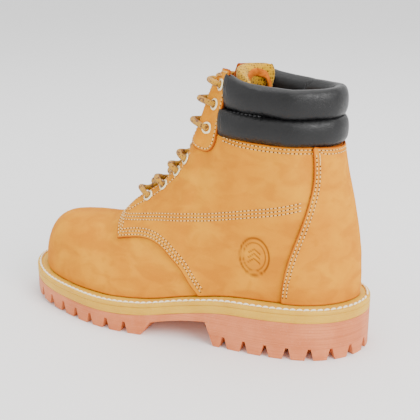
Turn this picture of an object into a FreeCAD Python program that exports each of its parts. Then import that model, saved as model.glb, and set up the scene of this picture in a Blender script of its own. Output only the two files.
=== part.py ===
import FreeCAD, Part
import math
import os

# Left six-inch steel toe work boot. Millimetres, +Z up, ground at z = 0.
# The toe points to -X, the heel to +X, and the outer (lateral) side of the foot to -Y.
# The origin is on the ground, under the middle of the sole.

V = FreeCAD.Vector

# ---------------------------------------------------------------- driving dimensions
MID_Y = 2.0              # plane through the heel seam, the instep ridge and the toe
HALF_SPACE = 90.0        # half width of every cutting block across the boot
LEFT, RIGHT = -1, 1      # outer (lateral) side and inner (medial) side

WELT_THICKNESS = 3.2
MIDSOLE_THICKNESS = 6.8
INSOLE_THICKNESS = 2.6
FOOTBED_THICKNESS = 4.5
LASTING_MARGIN = 3.0     # the welt and the insole meet this far under the upper
POCKET_INSET = 10.0      # hollow in the midsole for the shank and the filler
POCKET_DEPTH = 4.0
SHANK_START = -30.0
SHANK_LENGTH = 118.0
SHANK_WIDTH = 15.0
SHANK_THICKNESS = 1.6

THREAD_INSET = 3.0       # edge of the welt to its stitching
THREAD_WIDTH = 1.4
THREAD_HEIGHT = 0.7

LUG_PITCH = 17.0
LUG_DEPTH = 9.5
LUG_LENGTH = 15.0
LUG_MOUTH = 8.4
LUG_ROOT = 2.2
CHANNEL_INSET = 13.0     # groove between the edge lugs and the middle lugs
GROOVE_WIDTH = 4.0
GROOVE_DEPTH = 4.5

GAP = 0.2                # air left between two layers of the upper
VAMP = (-1.9, 0.0)       # layers of the upper, measured outwards from the lasted surface
QUARTER = (0.2, 2.2)
OVERLAY = (2.4, 4.2)
EYESTAY = (2.5, 4.3)
STEEL = (-4.2, -2.1)
PADDING = (-2.0, 0.0)
LINING = (-5.8, -2.2)
LINING_AT_TOE = (-5.8, -4.4)

EYESTAY_TOP = 213.0
SLOT_HALF = 12.0         # middle of the boot to the front edge of an eyestay
LINING_HALF = 24.5       # middle of the boot to the front edge of the lining
LINING_TOP = 160.0
HEEL_LINING_X = 80.0      # behind this the lining goes right round the heel
EYELET_HEIGHTS = (105.0, 116.0, 129.0, 140.0, 168.0, 186.0, 201.0)
EYELET_OFFSETS = (18.0, 18.0, 18.0, 19.0, 21.0, 19.0, 19.0)     # from the middle of the boot
UPPER_EYELETS = 4        # index of the first eyelet that goes through the overlay
EYELET_HOLE = 2.7
EYELET_BARREL = 3.2
EYELET_FLANGE = 4.7
FLANGE_THICKNESS = 0.9

LACE_RADIUS = 2.1
LACE_OVER = 3.0          # lace centre above the leather where it wraps the edge
LACE_UNDER = -2.6        # lace centre where it runs under the leather
LACE_CROSS = 2.4         # half the distance between two strands that cross
LACE_TUCKED = -7.2       # lace centre of the ends tucked under the crossings
AGLET_LENGTH = 20.0

ROLL_HALF_THICKNESS = 8.0
ROLL_LOW = 162.8         # bottom of the lower roll at the heel
ROLL_SEAM = 181.9        # where the two rolls meet at the heel
ROLL_HIGH = 204.6        # top of the upper roll at the heel
COLLAR_END = 0.405       # place of the collar's front end along the lasted surface

TONGUE_DEPTH = 11.2      # lasted surface to the outer face of the tongue, at the ridge
TONGUE_LEATHER = 1.6
TONGUE_FOAM = 6.0
TONGUE_MESH = 1.4

# Plan outline of the sole, from the back of the heel round the outer side to the toe.
SOLE_OUTLINE = ((155, 1), (150, -19), (133, -38), (100, -50), (60, -52), (20, -52), (-25, -58),
                (-65, -56), (-100, -45), (-128, -32), (-148, -12), (-155, 9), (-150, 29),
                (-133, 45), (-105, 55), (-68, 58), (-30, 53), (10, 45), (50, 40.5), (88, 41),
                (124, 38.5), (147, 23))

# Plan outline of the lasted upper where it meets the welt, in the same order.
FEATHER_OUTLINE = ((143, 1), (136, -16), (120, -29), (95, -36), (60, -38), (20, -41),
                   (-25, -47), (-65, -46), (-100, -36), (-126, -23), (-141, -6), (-146, 9),
                   (-140, 27), (-124, 39), (-100, 45.5), (-68, 47), (-30, 42), (10, 34.5),
                   (50, 31), (90, 31), (120, 26), (138, 14))

# Side view (x, z) of the top of the welt, and of the outsole's underside.
WELT_LINE = ((-175, 34), (-150, 29.5), (-100, 25), (-60, 24.8), (-20, 27), (15, 33), (60, 39.6),
             (110, 40.6), (175, 41.5))

# Top line of the lasted surface from the heel seam to the toe: place along the side,
# x, distance from the middle plane, z, and how square the rib below it is (1 is straight).
TOP_KEYS = ((0.00, 122.0, 0.0, 224.0, 1.00),
            (0.05, 120.8, 9.2, 224.0, 1.00),
            (0.12, 113.0, 20.0, 224.0, 1.00),
            (0.23, 92.0, 31.5, 224.0, 1.00),
            (0.34, 68.0, 30.5, 224.0, 1.00),
            (0.43, 49.0, 20.5, 224.0, 1.05),
            (0.49, 37.5, 7.5, 224.0, 1.10),
            (0.53, 26.0, 6.0, 187.0, 1.18),
            (0.575, 12.5, 6.0, 155.0, 1.22),
            (0.62, -13.0, 6.0, 123.0, 1.35),
            (0.66, -40.0, 4.0, 103.0, 1.55),
            (0.69, -55.0, 0.8, 88.0, 1.80),
            (0.73, -67.0, 0.15, 81.5, 2.10),
            (0.79, -88.0, 0.15, 80.0, 2.35),
            (0.87, -104.0, 0.15, 78.5, 2.35),
            (1.00, -113.0, 0.15, 76.5, 2.05))

# How far the ribs swell out at the heel and in above the ankle.
SWELL_KEYS = ((0.0, 3.6), (0.12, 3.0), (0.23, 1.8), (0.43, 0.0), (1.0, 0.0))
ANKLE_CENTRE = (75.0, MID_Y)


# ---------------------------------------------------------------- curves and solids
def smooth_value(keys, place, column):
    """Monotone cubic through the keys: no overshoot between two of them."""
    last = len(keys) - 1
    place = min(max(place, keys[0][0]), keys[last][0])
    k = max(i for i in range(last) if keys[i][0] <= place)

    def slope(i):
        step = keys[i + 1][0] - keys[i][0]
        return (keys[i + 1][column] - keys[i][column]) / step

    def tangent(i):
        if i == 0:
            return slope(0)
        if i == last:
            return slope(last - 1)
        before, after = slope(i - 1), slope(i)
        if before * after <= 0:
            return 0.0
        return 2 * before * after / (before + after)

    step = keys[k + 1][0] - keys[k][0]
    f = (place - keys[k][0]) / step
    start, end = keys[k][column], keys[k + 1][column]
    return ((1 + 2 * f) * (1 - f) ** 2 * start + f * (1 - f) ** 2 * step * tangent(k)
            + f * f * (3 - 2 * f) * end + f * f * (f - 1) * step * tangent(k + 1))


def closed_curve(points):
    curve = Part.BSplineCurve()
    curve.interpolate(Points=points, PeriodicFlag=True)
    return curve


def open_curve(points):
    curve = Part.BSplineCurve()
    curve.interpolate(Points=points)
    return curve


SOLE_EDGE = closed_curve([V(x, y, 0) for x, y in SOLE_OUTLINE])
FEATHER_EDGE = closed_curve([V(x, y, 0) for x, y in FEATHER_OUTLINE])
SOLE_LENGTH = SOLE_EDGE.length()
FEATHER_LENGTH = FEATHER_EDGE.length()


def edge_point(curve, length, inset=0.0):
    """Point of a plan outline at an arc length from its start at the heel, moved inwards.
    Both outlines run from the heel to the outer side, so inwards is to their right."""
    parameter = curve.parameterAtDistance(length % curve.length(), curve.FirstParameter)
    along = curve.tangent(parameter)[0]
    return curve.value(parameter) + V(along.y, -along.x, 0).normalize() * inset


def inset_prism(curve, inset, low=-5.0, high=60.0, count=60):
    """Upright block with a plan outline moved inwards."""
    points = [edge_point(curve, curve.length() * i / count, inset) for i in range(count)]
    face = Part.Face(Part.Wire(closed_curve(points).toShape()))
    face.translate(V(0, 0, low))
    return face.extrude(V(0, 0, high - low))


def side_block(points, low_y=-HALF_SPACE, high_y=HALF_SPACE):
    """Block with a straight-sided outline in side view, cut across the boot."""
    corners = [V(x, low_y, z) for x, z in points]
    face = Part.Face(Part.makePolygon(corners + corners[:1]))
    return face.extrude(V(0, high_y - low_y, 0))


def half_block(edges_points, side, inner=0.0):
    """Side-view block on one side of the boot. Each list of points is one smooth edge."""
    edges = []
    for points in edges_points:
        nodes = [V(x, MID_Y + side * inner, z) for x, z in points]
        edges.append(Part.makeLine(*nodes) if len(nodes) == 2 else open_curve(nodes).toShape())
    face = Part.Face(Part.Wire(edges))
    return face.extrude(V(0, side * HALF_SPACE, 0))


def welt_band(low, high, start=-170.0, end=170.0):
    """Block between two heights measured from the top of the welt."""
    count = 15
    places = [start + (end - start) * i / (count - 1) for i in range(count)]
    top = [V(x, -HALF_SPACE, smooth_value(WELT_LINE, x, 1) + high) for x in places]
    bottom = [V(x, -HALF_SPACE, smooth_value(WELT_LINE, x, 1) + low) for x in places]
    wire = Part.Wire([open_curve(top).toShape(), Part.makeLine(top[-1], bottom[-1]),
                      open_curve(bottom).toShape(), Part.makeLine(bottom[0], top[0])])
    return Part.Face(wire).extrude(V(0, 2 * HALF_SPACE, 0))


def surface_through(grid):
    surface = Part.BSplineSurface()
    surface.interpolate(grid)
    return surface


def slab_between(outer, inner):
    """Closed solid between two grids of points with the same rows and columns."""
    sheets = [surface_through(outer), surface_through(inner)]
    faces = [sheet.toShape() for sheet in sheets]
    for pick in (lambda s: s.uIso(0.0), lambda s: s.uIso(1.0),
                 lambda s: s.vIso(0.0), lambda s: s.vIso(1.0)):
        edges = [pick(sheet).toShape() for sheet in sheets]
        faces.append(Part.makeRuledSurface(*edges, 1))
    shell = Part.makeShell(faces)
    shell.sewShape()
    solid = Part.makeSolid(shell)
    if solid.Volume < 0:
        solid.reverse()
    return solid


# ---------------------------------------------------------------- the lasted surface
def middle_crossing(low, high):
    """Arc length, between two others, at which the feather edge crosses the middle plane."""
    start = edge_point(FEATHER_EDGE, low).y - MID_Y
    for _ in range(40):
        middle = (low + high) / 2
        same = (edge_point(FEATHER_EDGE, middle).y - MID_Y) * start > 0
        low, high = (middle, high) if same else (low, middle)
    return (low + high) / 2


HEEL_LENGTH = middle_crossing(-20.0, 20.0)
TOE_LENGTH = middle_crossing(0.42 * FEATHER_LENGTH, 0.55 * FEATHER_LENGTH)


def feather_point(side, place):
    """Where the upper meets the welt: place runs from 0 at the heel to 1 at the toe."""
    outer_run = TOE_LENGTH - HEEL_LENGTH
    run = outer_run if side == LEFT else outer_run - FEATHER_LENGTH
    point = edge_point(FEATHER_EDGE, HEEL_LENGTH + place * run)
    return V(point.x, point.y, smooth_value(WELT_LINE, point.x, 1) + 0.35)


def lasted_point(u, t):
    """Lasted surface. u is 0 at the heel seam, 0..1 on the outer side, 1..2 on the inner
    side and 1 at the toe. t is 0 at the welt and 1 at the top line or the ridge."""
    u = u % 2.0
    side, place = (LEFT, u) if u <= 1.0 else (RIGHT, 2.0 - u)
    foot = feather_point(side, place)
    x, offset, z, squareness = (smooth_value(TOP_KEYS, place, c) for c in range(1, 5))
    top = V(x, MID_Y + side * offset, z)
    angle = t * math.pi / 2
    c, s = math.cos(angle), math.sin(angle)
    scale = (c ** squareness + s ** squareness) ** (-1.0 / squareness)
    out = max(c, 0.0) * scale
    rise = s * scale
    point = V(top.x + (foot.x - top.x) * out, top.y + (foot.y - top.y) * out,
              foot.z + (top.z - foot.z) * rise)
    swell = smooth_value(SWELL_KEYS, place, 1) * math.sin(2 * math.pi * rise)
    away = V(point.x - ANKLE_CENTRE[0], point.y - ANKLE_CENTRE[1], 0)
    return point + away.normalize() * swell if swell else point


def lasted_normal(u, t):
    """Outward normal of the lasted surface."""
    du, dt = 0.004, 0.01
    place = u % 2.0
    place = place if place <= 1.0 else 2.0 - place
    along_u = lasted_point(u + du, t) - lasted_point(u - du, t)
    along_t = lasted_point(u, min(t + dt, 1.0)) - lasted_point(u, max(t - dt, 0.0))
    normal = along_t.cross(along_u)
    if t > 0.999 and place > 0.72:
        normal.y = 0.0
    return normal.normalize()


def offset_point(u, t, distance):
    return lasted_point(u, t) + lasted_normal(u, t) * distance


def upper_layer(start, end, layer, columns, rows=13):
    """Thick sheet that follows the lasted surface from one place u to another."""
    grids = []
    for distance in (layer[1], layer[0]):
        grids.append([[offset_point(start + (end - start) * i / (columns - 1),
                                    j / (rows - 1), distance) for j in range(rows)]
                      for i in range(columns)])
    return slab_between(*grids)


def height_place(u, z):
    """t at which the rib u reaches a height."""
    low, high = 0.0, 1.0
    for _ in range(24):
        middle = (low + high) / 2
        low, high = (middle, high) if lasted_point(u, middle).z < z else (low, middle)
    return (low + high) / 2


def front_place(side, offset, z):
    """u and t of the point of the instep at a height and a distance from the middle."""
    low, high = 0.40, 0.70
    for _ in range(24):
        middle = (low + high) / 2
        u = middle if side == LEFT else 2.0 - middle
        far = lasted_point(u, 1.0).z < z or abs(
            lasted_point(u, height_place(u, z)).y - MID_Y) < offset
        low, high = (low, middle) if far else (middle, high)
    u = (low + high) / 2
    u = u if side == LEFT else 2.0 - u
    return u, height_place(u, z)


def front_point(offset, z, distance):
    """Point of the instep by signed offset from the middle plane, height and distance
    outwards. Between the eyestays the surface runs level from one to the other."""
    side = LEFT if offset < 0 else RIGHT
    reach = max(abs(offset), 8.0)
    u, t = front_place(side, reach, z)
    point, normal = lasted_point(u, t), lasted_normal(u, t)
    share = abs(offset) / reach
    normal = V(normal.x, normal.y * share, normal.z).normalize()
    return V(point.x, MID_Y + offset, point.z) + normal * distance


def front_normal(side, offset, z):
    return lasted_normal(*front_place(side, offset, z))


# ---------------------------------------------------------------- sole
def lug_notch(length):
    """Wedge cut into the edge of the tread, narrow at the top."""
    edge = edge_point(SOLE_EDGE, length, -2.0)
    inward = (edge_point(SOLE_EDGE, length, 10.0) - edge).normalize()
    side = V(-inward.y, inward.x, 0)
    mouth, root = side * (LUG_MOUTH / 2), side * (LUG_ROOT / 2)
    low, high = V(0, 0, -3), V(0, 0, LUG_DEPTH)
    corners = [edge - mouth + low, edge + mouth + low, edge + root + high, edge - root + high]
    face = Part.Face(Part.makePolygon(corners + corners[:1]))
    return face.extrude(inward * LUG_LENGTH)


def toe_lift(x):
    """How far the tread has risen off the ground at x, in front of the ball of the foot."""
    return 6.5 * (max(0.0, -78.0 - x) / 80.0) ** 2


def tread_grooves():
    """Grooves between the middle lugs, and one between them and the edge lugs."""
    middle = inset_prism(SOLE_EDGE, CHANNEL_INSET)
    channel = middle.cut(inset_prism(SOLE_EDGE, CHANNEL_INSET + GROOVE_WIDTH))
    grooves = [channel.common(Part.makeBox(400, 200, GROOVE_DEPTH + 6.0, V(-200, -100, -5)))]
    for first, count in ((-41.5, 6), (57.0, 6)):
        step = -LUG_PITCH if first < 0 else LUG_PITCH
        for i in range(count):
            x = first + step * i
            bar = Part.makeBox(GROOVE_WIDTH, 200, GROOVE_DEPTH + 5.0,
                               V(x - GROOVE_WIDTH / 2, -100, toe_lift(x) - 5.0))
            grooves.append(bar.common(middle))
    return grooves


def lug_notches():
    """Notches at one pitch round the forefoot and round the heel."""
    count = int(SOLE_LENGTH / LUG_PITCH)
    notches = []
    for i in range(count):
        length = SOLE_LENGTH * (i + 0.5) / count
        x = edge_point(SOLE_EDGE, length).x
        if x < -24.0 or x > 48.0:
            notch = lug_notch(length)
            notch.translate(V(0, 0, toe_lift(x)))
            notches.append(notch)
    return notches


def tread_profile():
    """Side view of the outsole below the midsole: heel block, shank and forefoot."""
    ground = [V(160, -HALF_SPACE, 0), V(44, -HALF_SPACE, 0), V(37, -HALF_SPACE, 19.5)]
    shank = [ground[-1], V(15, -HALF_SPACE, 17.0), V(-10, -HALF_SPACE, 12.0)]
    ball = [shank[-1], V(-18, -HALF_SPACE, 0), V(-78, -HALF_SPACE, 0)]
    toe = [ball[-1], V(-118, -HALF_SPACE, 1.7), V(-162, -HALF_SPACE, 7.2)]
    roof = [toe[-1], V(-162, -HALF_SPACE, 60), V(160, -HALF_SPACE, 60), ground[0]]
    edges = [Part.makePolygon(ground), Part.Arc(*shank).toShape(), Part.makePolygon(ball),
             Part.Arc(*toe).toShape(), Part.makePolygon(roof)]
    wire = Part.Wire([edge for shape in edges for edge in shape.Edges])
    return Part.Face(wire).extrude(V(0, 2 * HALF_SPACE, 0))


def build_sole():
    full = inset_prism(SOLE_EDGE, 0.0)
    tread_top = -(WELT_THICKNESS + MIDSOLE_THICKNESS)
    outsole = full.common(tread_profile()).common(welt_band(-60.0, tread_top))
    for tool in lug_notches() + tread_grooves():
        outsole = outsole.cut(tool)
    pocket = inset_prism(FEATHER_EDGE, POCKET_INSET).common(
        welt_band(-WELT_THICKNESS - POCKET_DEPTH, 10.0, -120.0, 95.0))
    midsole = full.common(welt_band(tread_top, -WELT_THICKNESS)).cut(pocket)
    welt = full.common(welt_band(-WELT_THICKNESS, 0.0)).cut(
        inset_prism(FEATHER_EDGE, LASTING_MARGIN))
    insole = inset_prism(FEATHER_EDGE, LASTING_MARGIN + GAP).common(
        welt_band(-WELT_THICKNESS, -WELT_THICKNESS + INSOLE_THICKNESS))
    footbed_low = -WELT_THICKNESS + INSOLE_THICKNESS + GAP
    footbed = inset_prism(FEATHER_EDGE, -LINING[0] + 0.8).common(
        welt_band(footbed_low, footbed_low + FOOTBED_THICKNESS))
    filler = inset_prism(FEATHER_EDGE, POCKET_INSET + GAP).common(
        welt_band(0.3 - WELT_THICKNESS - POCKET_DEPTH, -WELT_THICKNESS - 0.3, -119.0, -32.0))
    shank_top = -WELT_THICKNESS - 1.0
    shank = Part.makeBox(SHANK_LENGTH, SHANK_WIDTH, 60.0, V(SHANK_START, MID_Y - 8.0, 0.0)).common(
        welt_band(shank_top - SHANK_THICKNESS, shank_top))
    return {"outsole": outsole, "midsole": midsole, "welt": welt, "insole_board": insole,
            "footbed": footbed, "sole_filler": filler, "steel_shank": shank}


def build_welt_thread():
    """Bead of thread that runs round the top of the welt."""
    rim = inset_prism(SOLE_EDGE, THREAD_INSET)
    rim = rim.cut(inset_prism(SOLE_EDGE, THREAD_INSET + THREAD_WIDTH))
    return rim.common(welt_band(0.02, 0.02 + THREAD_HEIGHT))


# ---------------------------------------------------------------- upper panels
VAMP_SEAM = ((30, 10), (26, 36), (20, 43), (12, 54), (2, 64), (-8, 72), (-20, 75.5), (-34, 74.5),
             (-49, 71))
EYESTAY_EDGE = ((8, 158), (15, 153.5), (23, 150.5), (30, 150.5), (35, 154), (38, 162))
HEEL_COVER_EDGE = ((115, 150), (112.5, 134), (109, 118), (103, 98), (97.5, 78), (95, 60), (94, 10))
TOP_EDGE = ((40, 167), (57, 164.2), (80, 162.4), (110, 161.6), (165, 155))


def quarter_outline(side, inner):
    """Side-view block of one quarter, from the vamp seam to the heel."""
    tip = [(-49, 71), (-53, 80), (-58, 92)]
    front = [(-58, 92), (-75, 130), (10, EYESTAY_TOP), (44, EYESTAY_TOP), (40, 167)]
    edges = [VAMP_SEAM, tip]
    edges += [front[i:i + 2] for i in range(4)]
    edges += [TOP_EDGE, (TOP_EDGE[-1], (165, 10)), ((165, 10), (30, 10))]
    return half_block(edges, side, inner)


def slot_block():
    """Opening between the two eyestays, closed below the throat."""
    return side_block([(-80, 84), (-80, 260), (80, 260), (80, 200), (30, 84)],
                      MID_Y - SLOT_HALF, MID_Y + SLOT_HALF)


def ridge_strip(layer, start=0.70):
    """Thin strip inside a layer that joins its two sides along the ridge of the toe."""
    count = 9
    lines = []
    for distance in (layer[1] - 0.45, layer[0] + 0.45):
        places = [start + 0.02 + (0.97 - start) * i / (count - 1) for i in range(count)]
        lines.append([offset_point(place, 1.0, distance) for place in places])
    for line in lines:
        for point in line:
            point.y = MID_Y - 1.5
    wire = Part.Wire([open_curve(lines[0]).toShape(), Part.makeLine(lines[0][-1], lines[1][-1]),
                      open_curve(lines[1]).toShape(), Part.makeLine(lines[1][0], lines[0][0])])
    return Part.Face(wire).extrude(V(0, 3.0, 0))


def toe_layer(layer):
    """Sheet of the lasted surface that covers the whole front of the foot."""
    return upper_layer(0.42, 1.58, layer, 41).fuse(ridge_strip(layer))


def build_vamp_parts():
    vamp_block = side_block([(-170, 0), (-170, 120), (-50, 120), (-50, 89), (-20, 88), (0, 80),
                             (16, 70), (30, 54), (38, 40), (42, 20), (42, 0)])
    cap_block = side_block([(-170, 0), (-170, 120), (-92, 120), (-96, 60), (-100, 0)])
    strip_block = side_block([(-92, 120), (-96, 60), (-100, 0), (-94.4, 0), (-90.4, 60),
                              (-86.4, 120)])
    cap_sheet = toe_layer(STEEL)
    lining_sheet = toe_layer(LINING_AT_TOE)
    return {"vamp": toe_layer(VAMP).common(vamp_block),
            "steel_toe_cap": cap_sheet.common(cap_block),
            "toe_cap_edge_strip": cap_sheet.common(strip_block.cut(cap_block)),
            "vamp_lining": lining_sheet.common(vamp_block)}


def build_quarters():
    parts = {}
    holes = eyelet_cutters()
    stiffener_edge = ((60, 10), (66, 45), (78, 72), (100, 96), (165, 104))
    for side, name in ((LEFT, "lateral"), (RIGHT, "medial")):
        ends = (0.0, 0.715) if side == LEFT else (1.285, 2.0)
        block = quarter_outline(side, 0.0)
        slot = slot_block()
        quarter = upper_layer(*ends, QUARTER, 31).common(block).cut(slot)
        parts["quarter_" + name] = quarter.cut(holes)
        lining_face = half_block([((44, -5), (46, 45), (38, 60), (22, 76), (-5, 91), (-40, 93)),
                                  ((-40, 93), (-40, LINING_TOP)),
                                  ((-40, LINING_TOP), (165, LINING_TOP)),
                                  ((165, LINING_TOP), (165, -5)), ((165, -5), (44, -5))],
                                 side, LINING_HALF)
        rear_face = half_block([((HEEL_LINING_X, LINING_TOP), (165, LINING_TOP)),
                                ((165, LINING_TOP), (165, -5)), ((165, -5), (HEEL_LINING_X, -5)),
                                ((HEEL_LINING_X, -5), (HEEL_LINING_X, LINING_TOP))], side)
        lining_face = lining_face.fuse(rear_face)
        lining = upper_layer(*ends, LINING, 31).common(lining_face)
        stiff_block = half_block([stiffener_edge, ((165, 104), (165, 10)), ((165, 10), (60, 10))],
                                 side)
        padding = upper_layer(*ends, PADDING, 31).common(lining_face).cut(stiff_block)
        parts["quarter_lining_" + name] = lining
        parts["quarter_padding_" + name] = padding
    return parts


def build_overlays():
    parts = {}
    cover_sheet = upper_layer(-0.36, 0.36, OVERLAY, 27)
    cover_block = side_block([TOP_EDGE[-1], (165, 10)] + list(reversed(HEEL_COVER_EDGE))
                             + [(116.5, 160.8)])
    parts["heel_cover"] = cover_sheet.common(cover_block)
    stiff_sheet = upper_layer(-0.36, 0.36, PADDING, 27)
    stiff_block = side_block([(165, 103.5), (100, 95.5), (79, 71.5), (67, 45), (61, 10), (165, 10)])
    parts["heel_stiffener"] = stiff_sheet.common(stiff_block)
    holes = eyelet_cutters()
    outline = [EYESTAY_EDGE, (EYESTAY_EDGE[-1], (47.5, EYESTAY_TOP)),
               ((47.5, EYESTAY_TOP), (10, EYESTAY_TOP)), ((10, EYESTAY_TOP), EYESTAY_EDGE[0])]
    for side, name in ((LEFT, "lateral"), (RIGHT, "medial")):
        ends = (0.40, 0.70) if side == LEFT else (1.30, 1.60)
        sheet = upper_layer(*ends, EYESTAY, 17)
        block = half_block(outline, side, SLOT_HALF)
        parts["eyestay_" + name] = sheet.common(block).cut(holes)
    return parts


# ---------------------------------------------------------------- collar
def roll_section(u, low, high, grow):
    """Rounded section of a padded roll, square to the collar."""
    middle = (low + high) / 2
    t = height_place(u, middle)
    centre = lasted_point(u, t)
    normal = lasted_normal(u, t)
    normal = V(normal.x, normal.y, 0).normalize()
    points = []
    for i in range(12):
        angle = 2 * math.pi * i / 12
        c, s = math.cos(angle), math.sin(angle)
        across = ROLL_HALF_THICKNESS * grow * c
        up = (high - low) / 2 * math.copysign(abs(s) ** 0.8, s)
        points.append(centre + normal * across + V(0, 0, up))
    return Part.Wire(closed_curve(points).toShape())


def build_collar():
    """Two rolls that rise towards the front, the upper one most on the inner side."""
    lower, upper = [], []
    count = 19
    for i in range(count):
        share = -1 + 2 * i / (count - 1)
        rise = max(0.0, abs(share) - 0.45) / 0.55
        grow = 1.0 - 0.32 * abs(share) ** 6
        seam = ROLL_SEAM + 3.6 * rise
        top = ROLL_HIGH + 4.0 * rise + 3.0 * rise ** 4 + (4.0 * rise if share < 0 else 0.0)
        u = COLLAR_END * share
        lower.append(roll_section(u, ROLL_LOW + 4.0 * rise, seam - GAP / 2, grow))
        upper.append(roll_section(u, seam + GAP / 2, top, grow))
    return {"collar_lower_roll": Part.makeLoft(lower, True, False),
            "collar_upper_roll": Part.makeLoft(upper, True, False)}


# ---------------------------------------------------------------- eyelets and lace
def eyelet_frames():
    """Centre on the lasted surface and outward normal of every eyelet, with its layer."""
    frames = {LEFT: [], RIGHT: []}
    for side in (LEFT, RIGHT):
        for index, z in enumerate(EYELET_HEIGHTS):
            u, t = front_place(side, EYELET_OFFSETS[index], z)
            outside = EYESTAY[1] if index >= UPPER_EYELETS else QUARTER[1]
            frames[side].append((lasted_point(u, t), lasted_normal(u, t), outside))
    return frames


EYELETS = eyelet_frames()


def eyelet_cutters():
    cutters = []
    for side in (LEFT, RIGHT):
        for centre, normal, _ in EYELETS[side]:
            cutters.append(Part.makeCylinder(EYELET_BARREL + 0.05, 20.0, centre - normal * 10.0,
                                             normal))
    return Part.makeCompound(cutters)


def build_eyelets():
    parts = {}
    for side, name in ((LEFT, "lateral"), (RIGHT, "medial")):
        rings = []
        for centre, normal, outside in EYELETS[side]:
            barrel = Part.makeCylinder(EYELET_BARREL, outside + 0.5, centre, normal)
            flange = Part.makeCylinder(EYELET_FLANGE, FLANGE_THICKNESS,
                                       centre + normal * (outside + 0.45), normal)
            hole = Part.makeCylinder(EYELET_HOLE, 20.0, centre - normal * 5.0, normal)
            rings.append(barrel.fuse(flange).cut(hole))
        parts["eyelets_" + name] = Part.makeCompound(rings)
    return parts


def lace_route():
    """Centre line of the lace: up from the outer side's tucked end, down to the first
    eyelets, across, and back to the inner side's tucked end."""
    def eyelet_pass(side, index, outward):
        centre, normal, outside = EYELETS[side][index]
        ends = [centre + normal * (LACE_UNDER - 1.4),
                centre + normal * (outside + LACE_OVER + 1.4)]
        return ends if outward else ends[::-1]

    def edge_wrap(side, index):
        z = EYELET_HEIGHTS[index] + 2.0
        outside = EYELETS[side][index][2]
        return front_point(side * 8.4, z, outside + 1.5)

    def half(side):
        points = []
        for index in range(len(EYELET_HEIGHTS) - 1):
            owner = side if index % 2 == 0 else -side
            points += eyelet_pass(owner, index, True)
            points.append(edge_wrap(owner, index))
            z = EYELET_HEIGHTS[index] + 0.5 * (EYELET_HEIGHTS[index + 1] - EYELET_HEIGHTS[index])
            points.append(front_point(0.0, z, -0.4 + LACE_CROSS * (1 if side == LEFT else -1)))
            points.append(front_point(-owner * 12.0, EYELET_HEIGHTS[index + 1] - 2.0,
                                      LACE_UNDER - 0.8))
        last = len(EYELET_HEIGHTS) - 1
        owner = side if last % 2 == 0 else -side
        points += eyelet_pass(owner, last, True)
        points.append(edge_wrap(owner, last))
        points.append(front_point(owner * 5.5, EYELET_HEIGHTS[last] - 3.0, LACE_TUCKED + 3.0))
        for z in (184.0, 168.0, 153.0, 140.0, 128.0):
            points.append(front_point(owner * 4.5, z, LACE_TUCKED))
        return points

    left, right = half(LEFT), half(RIGHT)
    bar = [front_point(-10.0, EYELET_HEIGHTS[0] - 1.5, LACE_UNDER - 0.6),
           front_point(10.0, EYELET_HEIGHTS[0] - 1.5, LACE_UNDER - 0.6)]
    return left[::-1] + bar + right


def rounded_path(points, share=0.45):
    """Straight runs joined by tangent arcs. Returns the wire and the arc radii."""
    edges, radii = [], []
    start = points[0]
    for before, corner, after in zip(points, points[1:], points[2:]):
        back, ahead = before - corner, after - corner
        turn = math.pi - back.getAngle(ahead)
        reach = share * min(back.Length, ahead.Length)
        radii.append(reach / math.tan(turn / 2))
        back.normalize()
        ahead.normalize()
        first, second = corner + back * reach, corner + ahead * reach
        bisector = (back + ahead).normalize()
        depth = reach / math.sin(turn / 2) - radii[-1]
        edges.append(Part.LineSegment(start, first).toShape())
        edges.append(Part.Arc(first, corner + bisector * depth, second).toShape())
        start = second
    edges.append(Part.LineSegment(start, points[-1]).toShape())
    return Part.Wire(edges), radii


def tube_along(points, radius):
    path, radii = rounded_path(points)
    along = points[1] - points[0]
    ring = Part.Wire(Part.makeCircle(radius, points[0], along))
    tube = path.makePipeShell([ring], True, False)
    print("lace: length %.1f, smallest radius %.2f, volume ratio %.4f" % (
        path.Length, min(radii), tube.Volume / (path.Length * math.pi * radius ** 2)))
    return tube


def build_lace():
    route = lace_route()
    parts = {"lace": tube_along(route, LACE_RADIUS)}
    tips = []
    for end, neighbour in ((route[0], route[1]), (route[-1], route[-2])):
        away = (end - neighbour).normalize()
        tips.append(Part.makeCylinder(LACE_RADIUS * 0.72, AGLET_LENGTH, end, away))
    parts["lace_aglets"] = Part.makeCompound(tips)
    return parts


# ---------------------------------------------------------------- tongue
# Height along the ridge, half width and how far the sides bend back.
TONGUE_KEYS = ((84.0, 16.0, 5.0), (104.0, 20.0, 8.0), (130.0, 21.0, 10.0), (160.0, 20.0, 12.0),
               (190.0, 19.0, 14.0), (221.0, 18.0, 15.0))


def tongue_sheet(depth, thickness, top=0.0, margin=0.0):
    """Curved sheet of the tongue at a depth below the lasted surface."""
    rows, columns = 12, 9
    low, high = TONGUE_KEYS[0][0], TONGUE_KEYS[-1][0] + top
    grids = []
    for distance in (depth, depth + thickness):
        grid = []
        for i in range(rows):
            z = low + (high - low) * i / (rows - 1)
            ridge = front_point(0.0, min(z, 213.0), 0.0)
            normal = front_normal(LEFT, 8.0, min(z, 213.0))
            normal = V(normal.x, 0, normal.z).normalize()
            ridge = ridge + V(0.22, 0, 1) * max(0.0, z - 213.0)
            half = smooth_value(TONGUE_KEYS, z, 1)
            sag = smooth_value(TONGUE_KEYS, z, 2)
            row = []
            for j in range(columns):
                across = (-1 + 2 * j / (columns - 1)) * (half - margin)
                inward = distance + sag * (across / half) ** 2
                row.append(ridge - normal * inward + V(0, across, 0))
            grid.append(row)
        grids.append(grid)
    return slab_between(*grids)


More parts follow.
